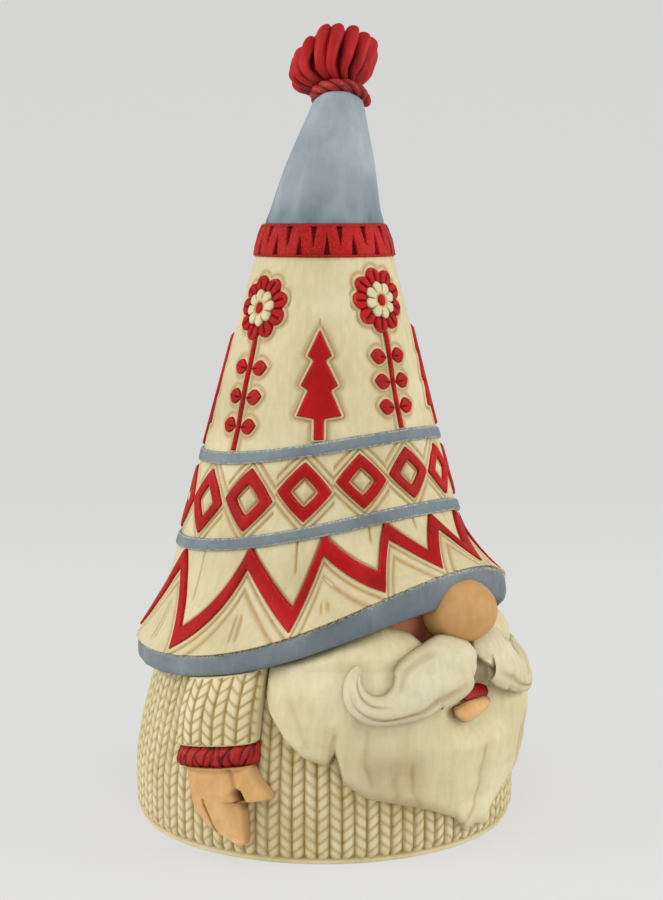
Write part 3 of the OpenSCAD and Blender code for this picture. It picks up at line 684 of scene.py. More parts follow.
# %% Cuffs
CREASES = 16
angle, height, lift, s, t = pad(
    lambda a: cuff_line(a) - GLUE, lambda a: cuff_line(a) - CUFF_H,
    lambda s: -92.5 + 0 * s, lambda s: -66 + 0 * s,
    lambda s: 8.2 * (0.85 + 0.15 * np.sin(np.pi * s)), 0.8, 30, 140,
)
crease = 0 * lift
for k in range(CREASES):
    place = (k + 0.5 + 0.8 * (scatter(k, 0, 8) - 0.5)) / CREASES
    bent = t + 0.1 * (scatter(k, 1, 8) - 0.5) * (2 * s - 1) + 0.012 * np.sin(5 * s + k)
    reach = 1 - (0.3 + 0.7 * scatter(k, 2, 8)) * (s if k % 2 else 1 - s)
    crease = np.maximum(crease, reach * dip(bent, place, 0.010 + 0.007 * scatter(k, 3, 8)))
puff = scoops(t * 14, s * 3, 0.9, seed=18)
rounded = rise(s, 0, 0.2) * rise(1 - s, 0, 0.2)
ruffle = puff - 1.0 * crease - 0.8 * (1 - rounded)
shown = rise(t, 0, 0.03) * rise(1 - t, 0, 0.03)
# Red-brown wash in the creases; the darkening towards the cuff's upper and lower edge, where it meets
# sleeve and hand, is painted shade.
for side, which in ((1, "right"), (-1, "left")):
    close_pad("cuff " + which, side, angle, height, lift + ruffle * shown - 0.2, "cuff_" + which,
              "cuff", "cuff_paint", 0.95 * crease + 0.4 * (1 - rounded),
              0.7 * rise(puff, -0.5, -0.1) * rounded)

# %% Hands
HAND_S = [0, 0.35, 0.6, 0.8, 0.93, 1]
HAND_BACK = [-8, -6.6, -4.6, -1.2, 4, 9.5]
THUMB_S = [0, 0.22, 0.36, 0.41, 0.43, 0.45, 0.5, 0.8, 1]
HAND_FRONT = [12.5, 15.8, 18.6, 18.9, 17.5, 12, 11, 11.6, 11.4]
FINGER_LINE = [(-80.5, 19), (-79.3, 15.3), (-77.1, 9.2)]
SLIT_LINE = [(-70.2, 22.8), (-68.4, 18.4)]
THUMB_LINE = [(-72.5, 30), (-71.2, 26), (-70.2, 22.8)]
angle, height, lift, s, t = pad(
    lambda a: cuff_line(a) - CUFF_H - GLUE, lambda a: 0.105 * coat_h + 0 * a,
    lambda s: -ARM_AT + np.interp(s, HAND_S, HAND_BACK),
    lambda s: -ARM_AT + np.interp(s, THUMB_S, HAND_FRONT),
    lambda s: 7 * (1 - 0.45 * s), 1, 84, 70,
)
arc = angle * coat_r * np.pi / 180
to_arc = coat_r * np.pi / 180
finger = dip(to_line(arc, height, [(a * to_arc, z) for a, z in FINGER_LINE]), 0, 0.45)
thumb = dip(to_line(arc, height, [(a * to_arc, z) for a, z in THUMB_LINE]), 0, 0.7)
slit = dip(to_line(arc, height, [(a * to_arc, z) for a, z in SLIT_LINE]), 0, 1.0)
cuts = scoops(arc / 5.5, height / 8, 1.1, seed=4)
border = np.minimum(np.minimum(t, 1 - t) * 8, np.minimum(s, 1 - s) * 14)
lift = np.maximum(0.5, lift + cuts * rise(border, 0, 1) - 0.8 * finger - 0.7 * thumb - 6 * slit)
# Brown wash in the finger and thumb grooves; the deep slit between thumb and palm and the border against
# coat and cuff are darkened as painted shade.
stain_and_shade = np.maximum(0.8 * finger + 0.4 * thumb, 1.1 * slit) + 0.3 * (1 - rise(border, 0, 0.8))
for side, which in ((1, "right"), (-1, "left")):
    close_pad("hand " + which, side, angle, height, lift, "hand_" + which, "skin", "skin_paint", stain_and_shade)

# %% [markdown]
# ## Face and nose
# Under the hat only the cheeks and a big ball nose show. The cheeks are a curved block against the
# coat's neck, and the nose is a slightly flattened ball whose back is pressed flat against them.

# %% Face
FACE_HALF = 52
CHEEK_AT = 21
CHEEK_Z = 75
turn = FACE_HALF * np.linspace(-1, 1, 90)[None]
low_z = coat_h + 0.42 * SHOULDER_UP
height = np.linspace(low_z, neck_top - 2, 46)[:, None] + 0 * turn
hat_in = hat_r(turn, height) - WALL - GLUE
front = np.where(height > edge_z(turn) - 1, np.minimum(face_r, hat_in), face_r)
cheek = 0.5 * dip(np.abs(turn), CHEEK_AT, 8) * dip(height, CHEEK_Z, 6)
edge = rise(np.minimum(turn + FACE_HALF, FACE_HALF - turn), 0, 3)
back_r = np.where(height < shoulder_z + GLUE, round_rad(height) + GLUE, neck_r + GLUE)
outer = at(np.maximum(front + cheek * edge - 0.8 * (1 - edge), back_r + 0.6), turn, height)
behind = at(back_r, turn, height)[:, ::-6]
points = np.concatenate([outer, behind], 1)
# Painted shade on the cheeks in a line along each side of the nose.
nose_side_shade = np.concatenate([0.7 * dip(np.abs(turn), 12, 2.5) + 0 * height, np.zeros(behind.shape[:2])], 1)
cast("cheeks", points, "face", "cheek", "cheek_paint", sharp=50, wash=nose_side_shade)

# %% Nose
NOSE_OUT = 5
NOSE_UP = 15.8
NOSE_SQUASH = 0.83
nose_rad = face_r + NOSE_OUT
nose_z = coat_h + NOSE_UP
nose_tall = NOSE_SQUASH * nose_r
nose_low = nose_z - nose_tall
tall = np.linspace(-89, 89, 60)[:, None]
round_it = np.linspace(0, 360, 97)[None, :-1]
ball = nose_r + 0.6 * scoops(round_it / 360 * 9, tall / 30, 0.7, seed=2, around=9)
side_x = ball * np.cos(np.radians(tall)) * np.cos(np.radians(round_it))
side_y = ball * np.cos(np.radians(tall)) * np.sin(np.radians(round_it)) - nose_rad
side_z = ball * nose_tall / nose_r * np.sin(np.radians(tall)) + nose_z
deep = np.hypot(side_x, side_y)
held = np.maximum(deep, face_r + GLUE) / deep
points = np.stack(np.broadcast_arrays(side_x * held, side_y * held, side_z), -1)
# Painted shade: the nose darkens where it is pressed against the cheeks and on its underside.
nose_seat_shade = rise(held, 1, 1.02) * 0.9
cast("nose", points, "nose", "nose", "skin_paint", wash=nose_seat_shade + 0.5 * rise(-tall, 50, 80))

# %% [markdown]
# ## The beard
# The beard is a thick sheet over the coat with smooth knife facets, a hooked notch at each side, a few
# upright folds and a tip that curls over. Sculpting would do it too, but a grid keeps its border exact:
# the upper and lower border are lines by angle, the thickness is a rule by height, and every fold is a
# groove along its own short line.

# %% Borders and thickness
BEARD_HALF = 65.6
LOW_AT = [0, 4, 8, 17, 28, 36, 42, 44.5, 46.5, 53, 58, 63, 65.6]
LOW_SHARE = [0.115, 0.085, 0.18, 0.255, 0.32, 0.36, 0.44, 0.60, 0.53, 0.57, 0.65, 0.78, 0.90]
TOP_AT = [0, 9, 14.7, 18, 24, 30, 36]
TOP_RISE = [2.5, 2.5, 7.6, 10.2, 12.2, 13.6, 15.5]
FULL_AT = [0, 0.25, 0.4, 0.55, 0.75, 0.95, 1.08, 1.3]
FULL = [0.2, 0.22, 0.45, 0.78, 1.12, 1.12, 1.0, 0.3]
BEARD_T = 11
HOLLOW_DEEP = 6


def beard_top(angle):
    """Upper border, held under the hat's edge."""
    return np.minimum(coat_h + np.interp(np.abs(angle), TOP_AT, TOP_RISE), trim_low_z(angle) - 0.4)


def beard_low(angle):
    """Lower border: a pointed middle lobe and a lobe at each side."""
    return coat_h * np.interp(np.abs(angle), LOW_AT, LOW_SHARE)


def chin_rad(height):
    """Ground that the beard lies on: the coat, and above it the cheeks."""
    return np.maximum(coat_rad(height), np.where(height > coat_h, face_r, 0)) + GLUE


def beard_rad(angle, height):
    """Ground plus the thickness, which fades towards the sides and by height."""
    side = 1 - 0.7 * np.minimum(1, np.abs(angle) / BEARD_HALF) ** 3.4
    return chin_rad(height) + 0.5 + (BEARD_T - 0.5) * side * np.interp(height / coat_h, FULL_AT, FULL)


def mouth_hollow(angle, height):
    """Depth of the dent that holds the mouth and the lip under the moustache."""
    share = height / coat_h
    return HOLLOW_DEEP * dip(angle, -1, 11) * rise(share, 0.56, 0.7) * (1 - rise(share, 0.9, 1.02))


# %% Folds
FOLDS = [
    (0.9, [(0.5, 33), (0, 26), (0.6, 19.4), (-1, 13), (-4, 9.5), (-7.2, 6.9)]),
    (0.7, [(-23.8, 31), (-23.2, 22.6), (-21, 18.1)]),
    (0.6, [(-29, 27), (-27.5, 22)]),
    (0.7, [(24, 31), (23, 23), (20.5, 18)]),
    (1.3, [(-44.6, 42), (-45.8, 37), (-46.2, 33), (-44.5, 29)]),
    (1.3, [(44.6, 42), (45.8, 37), (46.2, 33), (44.5, 29)]),
    (0.5, [(-57, 52), (-54, 44), (-52, 38)]),
    (0.5, [(57, 52), (54, 44), (52, 38)]),
    (0.5, [(-36, 44), (-37, 34), (-35, 26)]),
    (0.5, [(36, 44), (37, 34), (35, 26)]),
]


def folds(angle, height):
    """Depth and wash of all folds: each is a soft groove along its line that fades at its ends."""
    arc = angle * to_arc
    depth = 0
    stain_and_shade = 0
    for size, line in FOLDS:
        away = to_line(arc, height, [(a * to_arc, z) for a, z in line])
        depth = depth + size * (0.15 * dip(away, 0, 0.8) + 0.6 * dip(away, 0, 2.8))
        line_wash = 0.4 * dip(away, 0, 0.8) + 0.15 * dip(away, 0, 2.4)
        stain_and_shade = np.maximum(stain_and_shade, np.minimum(1, size) * line_wash)
    return depth, stain_and_shade


# %% Beard
angle = BEARD_HALF * np.linspace(-1, 1, 300)[None]
s = np.concatenate([
    np.linspace(0, 0.05, 8)[:-1], np.linspace(0.05, 0.9, 120)[:-1], np.linspace(0.9, 1, 26),
])[:, None]
height = beard_top(angle) * (1 - s) + beard_low(angle) * s
edge = np.minimum(np.minimum(s * 6, (1 - s) * 5), (1 - np.abs(angle) / BEARD_HALF) * 9)
rounding = np.sqrt(np.maximum(0, 1 - (1 - np.minimum(edge, 1)) ** 2))
inner_r = chin_rad(height)
outer_r = beard_rad(angle, height) - mouth_hollow(angle, height)
depth, stain_and_shade = folds(angle, height)
facet = scoops(angle / 11, height / 13, 1.3, seed=6)
hollow = dip(height / coat_h, 0.5, 0.12) * dip(np.abs(angle), 30, 9)
radius = inner_r + 1 + (outer_r - inner_r - 1) * rounding
radius = radius + (facet - depth - 0.8 * hollow) * rise(edge, 0.1, 1)
radius = np.maximum(radius, inner_r + 0.7)
back = at(inner_r, angle, height)[:, ::-8]
points = np.concatenate([at(radius, angle, height), back], 1)
# Brown wash along the folds, and darker in the shallow hollows at the sides; near the border on the lower
# half, a gold wash line together with painted shade where the beard stands off the coat.
stain_and_shade = np.clip(0.9 * stain_and_shade + 0.45 * hollow + 0.35 * (1 - rise(edge, 0, 0.4)) * (s > 0.5), 0, 1)
stain_and_shade = np.concatenate([stain_and_shade, np.zeros(back.shape[:2])], 1)
cast("beard", points, "beard", "beard", "beard_paint", wash=stain_and_shade)

# %% [markdown]
# ## Moustache and mouth
# Each side of the moustache is one thick strand that runs out from under the nose, down over the beard
# and back up into a curl. It is a section carried along a curve: the curve's stations give the place,
# half width and thickness, a spline fills in between them, and knife lines run along the strand.

# %% Moustache
STATIONS = np.array([
    [3.4, -5.0, 4.5, 0.6], [6.4, -2.9, 7, 0.9], [9.8, -3.6, 9.2, 1], [15.4, -5.7, 9.6, 1],
    [20.6, -7.6, 9.2, 1], [24.2, -11, 7.6, 0.95], [27.4, -13, 5.6, 0.9], [31, -14.3, 4.4, 0.85],
    [34.4, -14.4, 4.3, 0.8], [37.2, -13.2, 4.1, 0.75], [39.2, -10.6, 3.7, 0.7], [39.8, -7, 2.8, 0.65],
    [39, -4, 1.9, 0.5], [37.6, -2.1, 1.2, 0.35],
])
MOUSTACHE_T = 6
LEFT_REACH = 0.62


def eased(stations, count):
    """Fills in between stations with a curve that passes through each of them.

    Between two stations the value is the cubic whose slopes at both are half the step between
    their neighbours.
    """
    last = len(stations) - 1
    run = np.linspace(0, last, count)
    k = np.minimum(run.astype(int), last - 1)
    u = (run - k)[:, None]
    p0, p1, p2, p3 = (stations[np.clip(k + shift, 0, last)] for shift in (-1, 0, 1, 2))
    return p1 + 0.5 * u * (p2 - p0 + u * (2 * p0 - 5 * p1 + 4 * p2 - p3 + u * (3 * (p1 - p2) + p3 - p0)))


def moustache(side):
    """Section carried along the strand: half width across it, and a sine for its bulge.

    The left strand is modelled shorter than the right one.
    """
    line = eased(STATIONS, 130)
    reach = LEFT_REACH if side > 0 else 1
    mid = np.stack([side * reach * line[:, 0] * to_arc, nose_low + line[:, 1]], -1)
    along = np.gradient(mid, axis=0)
    along /= np.linalg.norm(along, axis=1, keepdims=True)
    across = np.stack([-along[:, 1], along[:, 0]], -1)
    t = np.linspace(0, 2 * np.pi, 49)[None, :-1]
    wide = np.cos(t) * side
    plane = mid[:, None] + across[:, None] * (line[:, 2, None] * wide)[..., None]
    turn = plane[..., 0] / to_arc
    share = np.linspace(0, 1, 130)[:, None]
    down = -np.cos(t)
    split = 0.9 * dip(down, 0.45 + 0.1 * np.sin(5 * share), 0.09)
    split = split * rise(share, 0.12, 0.3) * rise(1 - share, 0.1, 0.4)
    crease = 0.8 * dip(down, -0.35, 0.08) * rise(share, 0.5, 0.65) * rise(1 - share, 0.02, 0.15)
    small = 0.6 * dip(down, -0.75, 0.07) * rise(share, 0.2, 0.26) * rise(0.5 - share, 0, 0.1)
    cuts = split + crease + small
    facet = scoops(share * 9 + 0 * t, down * 1.6 + 0 * share, 0.55, seed=9 + side)
    bulge = np.maximum(0, np.sin(t)) ** 0.8 * line[:, 3, None] * MOUSTACHE_T * (0.7 if side > 0 else 1)
    top = rise(np.sin(t), 0.1, 0.5)
    ground = beard_rad(turn, plane[..., 1]) + 0.4
    radius = ground + bulge + (facet - 0.9 * cuts) * top
    # Brown wash in the knife cuts; the band along each side of the strand, where it lies on the beard, is
    # painted shade.
    stain_and_shade = np.clip(0.85 * cuts * top + 0.5 * dip(np.sin(t), 0.05, 0.25), 0, 1)
    return at(radius, turn, plane[..., 1]), stain_and_shade


for side, which in ((-1, "right"), (1, "left")):
    points, stain_and_shade = moustache(side)
    cast("moustache " + which, points, "moustache_" + which, "moustache", "beard_paint", wash=stain_and_shade)


# %% Mouth and lip
def patch(name, centre_a, centre_z, half_a, half_z, bow, thick, finish, slot):
    """Small pad on the beard: a lens whose thickness falls to nothing at its border."""
    x = np.linspace(-1, 1, 40)[None]
    y = np.linspace(1, -1, 24)[:, None]
    turn = centre_a + x * half_a + 0 * y
    height = centre_z + bow * x**2 + half_z * y * np.sqrt(1 - 0.9 * x**2)
    swell = np.sqrt((1 - 0.9 * x**2) * (1 - 0.9 * y**2))
    ground = beard_rad(turn, height) - mouth_hollow(turn, height)
    outer = at(ground + 0.6 + thick * swell, turn, height)
    back = at(ground + 0.4, turn, height)[:, ::-6]
    # Painted shade: the pad darkens towards its border, where it meets the beard.
    stain_and_shade = np.concatenate([0.7 * (1 - rise(swell, 0.3, 0.7)), np.zeros(back.shape[:2])], 1)
    return cast(name, np.concatenate([outer, back], 1), slot[0], finish, slot[1], wash=stain_and_shade)


lip_z = 0.75 * coat_h
patch("mouth", 0, lip_z + 4.6, 5, 3.0, 0.4, 0.6, "mouth", ("mouth", "mouth_paint"))
patch("lower lip", -4, lip_z + 0.3, 8.3, 3.2, 1.8, 3.0, "skin", ("lower_lip", "skin_paint"))

# %% [markdown]
# ## The hat's cream ground
# The hat is carved all over. Between the raised red shapes, the cream ground has a lip beside each
# shape, then a groove that holds the brown wash, and more knife lines where there is room. Each zone of
# the hat is a grid round the cone. Every point's distance to the nearest red outline is worked out,
# and the lip and the grooves are bells of that distance, so they follow each outline exactly.


# %% A zone of the hat
def zone(name, low, top, columns, rows, carve):
    """Closed wall round the hat between two height lines; carve gives relief and wash by place."""
    angle = np.linspace(-180, 180, columns + 1)[None, :-1]
    share = np.linspace(0, 1, rows)[:, None]
    height = low(angle) * (1 - share) + top(angle) * share
    angle = angle + 0 * share
    relief, stain_and_shade = carve(angle, height)
    uneven = 0.25 * scoops(angle / 360 * 60, height / 9, 1, seed=3, around=60)
    outer = at(hat_r(angle, height) + relief + uneven, angle, height)
    ends = height[[-1, 0]]
    lining = at(hat_r(angle[:2], ends) - WALL, angle[:2], ends)
    stain_and_shade = np.concatenate([stain_and_shade, np.zeros(lining.shape[:2])])
    points = np.concatenate([outer, lining])
    return cast(name, points, "hat_cone", "hat", "hat_cream", ring=True, wash=stain_and_shade)


def beside(distance):
    """Lip and groove beside a raised shape, by the distance outside its border in millimetres."""
    relief = 0.25 * dip(distance, 0.4, 0.28) - 0.5 * dip(distance, 1.15, 0.4)
    return relief, 0.95 * dip(distance, 1.15, 0.36)


# %% Zigzag ground
ZIG_COUNT = 10
ZIG_CLOSE = 0.5
ZIG_FIRST = 0.09
LEAN_AT = [0, 28, 58, 78, 100, 125, 180]
LEAN = [0, 0.23, 0.13, 0.1, -0.17, 0, 0]
STROKE = 2.9


def saw(angle):
    """0 at a top point of the zigzag, 1 at a bottom point.

    The points stand closer over the face, and the lower ones lean towards it.
    """
    angle = (angle + 180) % 360 - 180
    turns = ZIG_COUNT / 360 * (angle + ZIG_CLOSE * np.degrees(np.sin(np.radians(angle)))) - ZIG_FIRST
    share = turns - np.floor(turns)
    low_at = 0.5 - np.sign(angle) * np.interp(np.abs(angle), LEAN_AT, LEAN)
    return np.where(share < low_at, share / low_at, (1 - share) / (1 - low_at))


def half_period(angle):
    """Distance round the hat from a top point to the next bottom point."""
    return np.pi * 0.85 * coat_r / (ZIG_COUNT * (1 + ZIG_CLOSE * np.cos(np.radians(angle))))


def zigzag_lines(angle):
    """Upper and lower line of the stroke, and the slope of the stroke."""
    top = band_low_z(angle) - BAND_H - 1
    low = edge_z(angle) + 1
    slope = (top - low - 1.6 * STROKE) / half_period(angle)
    stroke = STROKE * np.sqrt(1 + slope**2)
    upper = top - (top - low - stroke) * saw(angle)
    return upper, upper - stroke, slope


def zigzag_ground(angle, height):
    upper, lower, slope = zigzag_lines(angle)
    straight = 1 / np.sqrt(1 + slope**2)
    above = (height - upper) * straight
    below = (lower - height) * straight
    away = np.maximum(above, below)
    relief, stain_and_shade = beside(away)
    gouge = dip(below, 3.6, 0.6)
    over_edge = height - edge_z(angle)
    from_top = saw(angle) * half_period(angle)
    from_bottom = (1 - saw(angle)) * half_period(angle)
    tick_up = dip(from_top - 1, 0, 0.5) * rise(below, 6, 7.5) * rise(over_edge, 1.5, 4)
    tick_down = dip(from_bottom, 0, 0.45) * rise(above, 5.5, 6.5)
    lines = np.maximum(np.maximum(gouge, tick_up), tick_down)
    return relief - 0.55 * lines, np.maximum(stain_and_shade, 0.8 * lines)


zone("hat edge zone", lambda a: edge_z(a), lambda a: band_low_z(a) - BAND_H + 1.2, 960, 98, zigzag_ground)

# %% Diamond ground
DIAMONDS = 14
DIAMOND_AT = -56
PITCH = 360 / DIAMONDS
HOLE = 0.5


def diamond_size(centre):
    """Middle height, half height and half width of the diamond whose centre is at an angle."""
    top = band_up_z(centre) - BAND_H
    low = band_low_z(centre)
    mid = (top + low) / 2
    return mid, (top - low) / 2 - 1.6, np.pi / DIAMONDS * cone(mid) - 0.7


def diamond_ground(angle, height):
    centre = DIAMOND_AT + np.round((angle - DIAMOND_AT) / PITCH) * PITCH
    mid, half_h, half_w = diamond_size(centre)
    across = np.abs(angle - centre) * np.pi / 180 * cone(height)
    share = across / half_w + np.abs(height - mid) / half_h
    width = half_w * half_h / np.hypot(half_w, half_h)
    away = (share - 1) * width
    within = (HOLE - share) * width
    relief, stain_and_shade = beside(away)
    lines = dip(away, 3.1, 0.55)
    pyramid = 1.0 * np.clip((within - 0.9) / 2.2, 0, 1) - 0.5 * dip(within, 0.45, 0.4)
    gold = dip(within, 0.45, 0.42)
    return relief - 0.55 * lines + pyramid, np.maximum(np.maximum(stain_and_shade, gold), 0.85 * lines)


zone("hat diamond zone", lambda a: band_low_z(a) - 1.2, lambda a: band_up_z(a) - BAND_H + 1.2,
     1008, 90, diamond_ground)

# %% [markdown]
# ## Trees and flowers
# The tall zone carries four fir trees and four ruffled flowers on leafy stems. Their outlines are given
# once, in millimetres on the flat, and serve both the red pieces and the ground that is carved round
# them.

# %% Outlines
TREE_AT = -50
FLOWER_R = 10.4
HEART_R = 6.1
EYE_R = 0.3 * HEART_R
STEM_W = 1.7
PETALS = 9
HEARTS = 8
LEAF_PAIRS = 3


def panel_low(angle):
    """Foot of the tall zone's pattern."""
    return band_up_z(angle) + 0.8


def flower_z(angle):
    """Height of a flower's centre."""
    return collar_low - FLOWER_R - 6.4 + 0.35 * (band_up_z(angle) - band_up_z(180))


def tree_side(angle):
    """Right half of the fir's outline from the foot to the tip: three tiers on a trunk."""
    h = 0.6 * (collar_low - panel_low(angle))
    w = 0.22 * h
    rows = [
        (0.22, 0), (0.22, 0.19), (1, 0.215), (0.5, 0.448),
        (0.82, 0.493), (0.26, 0.718), (0.53, 0.767), (0, 1),
    ]
    return [(x * w, panel_low(angle) + z * h) for x, z in rows]


def leaves(angle):
    """Outlines of the leaves on the right of a stem: two arcs that meet in points, turned up a little."""
    low = panel_low(angle)
    top = flower_z(angle) - FLOWER_R - 0.3
    t = np.linspace(0, 2 * np.pi, 41)[:-1]
    x = 3.1 * (1 + np.cos(t)) + STEM_W / 2 + 0.5
    y = 2.5 * np.sin(t) * np.abs(np.sin(t))
    tilt = math.radians(8)
    return [
        np.stack([x * math.cos(tilt) - y * math.sin(tilt),
                  x * math.sin(tilt) + y * math.cos(tilt) + low + (top - low) * (0.2 + 0.27 * k)], -1)
        for k in range(LEAF_PAIRS)
    ]


def petal_line(count, low, high, turn):
    """Radius of a ruffled outline: the petals swell with the power 0.8 of a sine."""
    return low + (high - low) * np.abs(np.sin(count * turn / 2)) ** 0.8


tree_spots = [TREE_AT + 90 * i for i in range(4)]
flower_spots = [TREE_AT + 45 + 90 * i for i in range(4)]
print("trees at", tree_spots, "flowers at", flower_spots)


# %% Tall zone's ground
def tall_ground(angle, height):
    relief = np.zeros(angle.shape)
    stain_and_shade = np.zeros(angle.shape)
    for spot in tree_spots + flower_spots:
        off = (angle - spot + 180) % 360 - 180
        near = np.abs(off[0]) < 24
        x = np.abs(off[:, near]) * np.pi / 180 * cone(height[:, near])
        z = height[:, near]
        if spot in tree_spots:
            side = tree_side(spot)
            away = -inside(x, z, side + [(-1, side[-1][1]), (-1, side[0][1])])
            bed = rise(away, 0.5, 0.9) * rise(3 - away, 0, 2.2)
            part = 0.3 * dip(away, 0.35, 0.25) - 0.6 * bed
            mark = 0.9 * dip(away, 1.0, 0.33) + 0.22 * rise(away, 0.8, 1.2) * rise(3.1 - away, 0, 1.5)
            tip = side[-1][1]
            line = dip(x, 0, 0.3) * rise(z, tip + 1.2, tip + 1.8) * rise(tip + 3.6 - z, 0, 0.5)
            part = part - 0.45 * line
            mark = np.maximum(mark, 0.8 * line)
        else:
            y = z - flower_z(spot)
            turn = np.arctan2(y, off[:, near] * np.pi / 180 * cone(z))
            away = np.hypot(x, y) - petal_line(PETALS, 0.82 * FLOWER_R, FLOWER_R, turn)
            stem = np.maximum(x - STEM_W / 2, y + FLOWER_R - 0.5)
            away = np.minimum(away, np.where(z > panel_low(spot) - 1, stem, 9))
            for leaf in leaves(spot):
                away = np.minimum(away, -inside(x, z, [tuple(p) for p in leaf[::2]]))
            part, mark = beside(away)
            mark = np.maximum(0.75 * mark, 0.5 * dip(away, 1.4, 0.8))
        relief[:, near] += part
        stain_and_shade[:, near] = np.maximum(stain_and_shade[:, near], mark)
    return relief, stain_and_shade


zone("hat tall zone", lambda a: band_up_z(a) - 1.2, lambda a: collar_low + 0.6 + 0 * a,
     640, 150, tall_ground)


# %% Red trees
def on_cone(spot, x, height, lift):
    """Flat drawing laid on the hat: x millimetres beside an angle, at a height, lifted off the cone."""
    angle = spot + np.degrees(x / cone(height))
    return at(hat_r(angle, height) + lift, angle, height)


def tree(spot):
    side = tree_side(spot)
    outline = side + [(-x, z) for x, z in side[-2::-1]]
    reach = []
    for (x0, z0), (x1, z1) in zip(side[:-1], side[1:]):
        steps = max(2, int(math.hypot(x1 - x0, z1 - z0) / 0.45))
        share = np.linspace(0, 1, steps)
        reach.append(np.stack([x0 + (x1 - x0) * share, z0 + (z1 - z0) * share], -1))
    reach = np.concatenate(reach)
    reach[-1, 0] = 0.05
    u = np.linspace(-1, 1, 31)[None]
    x = reach[:, :1] * u
    z = reach[:, 1:] + 0 * u
    border = np.maximum(0, inside(x, z, outline))
    lift = 0.3 + 0.65 * rise(border, 0, 0.55)
    front = on_cone(spot, x, z, lift)
    back = on_cone(spot, x[:, ::-5], z[:, ::-5], -0.6)
    worn = np.concatenate([0.25 * dip(border, 0.4, 0.25), np.zeros(back.shape[:2])], 1)
    return np.concatenate([front, back], 1), worn


made = [tree(spot) for spot in tree_spots]
for number, (points, worn) in enumerate(made):
    cast(f"fir tree {number + 1}", points, "hat_trees", "red", "pattern_red", sharp=50, worn=worn)


# %% Raised shapes on the hat
def raised(name, spots, outline, inner, shares, lift, stands_for, finish, slot, ring, wash=0.0, worn=0.0):
    """Raised shapes made of loops between an inner and an outer outline, laid on the cone.

    outline and inner hold a flat drawing for each spot. Loop number i lies at shares[i] of the way
    from inner to outline, at lift[i].
    """
    shares = np.asarray(shares)[None, :, None, None]
    flat = inner[:, None] + (outline - inner)[:, None] * shares
    spots = np.asarray(spots)[:, None, None]
    points = on_cone(spots, flat[..., 0], flat[..., 1], np.broadcast_to(lift, flat.shape[1:3]))
    return cast(name, points, stands_for, finish, slot, ring=ring, wash=wash, worn=worn, sharp=60)


def around_spots(spots, x, y):
    """One flat drawing (x, y from a flower's centre) for each flower, with heights on the hat."""
    return np.stack([np.stack([x, y + flower_z(spot)], -1) for spot in spots])


# %% Flower petals
turn = np.linspace(0, 2 * np.pi, PETALS * 26 + 1)[:-1]
shares = np.array([0, 0, 0.06, 0.2, 0.35, 0.5, 0.65, 0.8, 0.92, 0.98, 1, 1])
lifts = np.array([-0.5, 0.35, 0.7, 0.85, 0.9, 0.95, 1.0, 1.0, 0.85, 0.6, 0.3, -0.5])
petal_radius = petal_line(PETALS, 0.80 * FLOWER_R, FLOWER_R, turn) * (1 + 0.015 * np.sin(7 * turn + 1))
between = np.abs(np.sin(PETALS * turn / 2))[None]
centre = np.abs(np.cos(PETALS * turn / 2))[None]
crease = 0.6 * dip(between, 0, 0.18) + 0.7 * dip(centre, 0, 0.2) * rise(1 - shares[:, None], 0, 0.3)
top = (lifts > 0.5)[:, None]
lift = lifts[:, None] + top * (0.25 * between - crease)
hole = HEART_R * 0.9 + 0 * turn
raised("flower petals", flower_spots,
       around_spots(flower_spots, petal_radius * np.cos(turn), petal_radius * np.sin(turn)),
       around_spots(flower_spots, hole * np.cos(turn), hole * np.sin(turn)),
       shares, lift, "flower_petals", "red", "pattern_red", True,
       wash=np.clip(1.1 * crease * top + 0.7 * (shares[:, None] < 0.1), 0, 1),
       worn=0.7 * dip(shares[:, None], 0.92, 0.08) * between)

# %% Flower hearts
turn = np.linspace(0, 2 * np.pi, HEARTS * 22 + 1)[:-1]
shares = np.array([0, 0, 0.1, 0.3, 0.5, 0.7, 0.85, 0.95, 1, 1])
lifts = np.array([-0.5, 0.9, 1.15, 1.35, 1.5, 1.5, 1.35, 1.05, 0.6, -0.5])
heart_radius = petal_line(HEARTS, 0.76 * HEART_R, HEART_R, turn + 0.2)
between = np.abs(np.sin(HEARTS * (turn + 0.2) / 2))[None]
crease = 0.8 * dip(between, 0, 0.2) * rise(shares[:, None], 0.15, 0.6)
top = (lifts > 0.5)[:, None]
hole = EYE_R * 0.8 + 0 * turn
heart_wash = 0.9 * crease * top + 0.9 * (shares[:, None] < 0.15) + 0.8 * (shares[:, None] > 0.97)
raised("flower hearts", flower_spots,
       around_spots(flower_spots, heart_radius * np.cos(turn), heart_radius * np.sin(turn)),
       around_spots(flower_spots, hole * np.cos(turn), hole * np.sin(turn)),
       shares, lifts[:, None] - crease * top, "flower_hearts", "hat", "hat_cream", True,
       wash=np.clip(heart_wash, 0, 1))

# %% Flower eyes
turn = np.linspace(0, 2 * np.pi, 41)[:-1]
shares = np.array([0.05, 0.4, 0.7, 0.9, 1, 1, 0.1])
lifts = np.array([1.75, 1.7, 1.5, 1.2, 0.8, -0.3, -0.3])
raised("flower eyes", flower_spots,
       around_spots(flower_spots, 0.9 * EYE_R * np.cos(turn), 1.1 * EYE_R * np.sin(turn)),
       around_spots(flower_spots, 0 * turn, 0 * turn),
       shares, lifts[:, None], "flower_eyes", "red", "pattern_red", False)

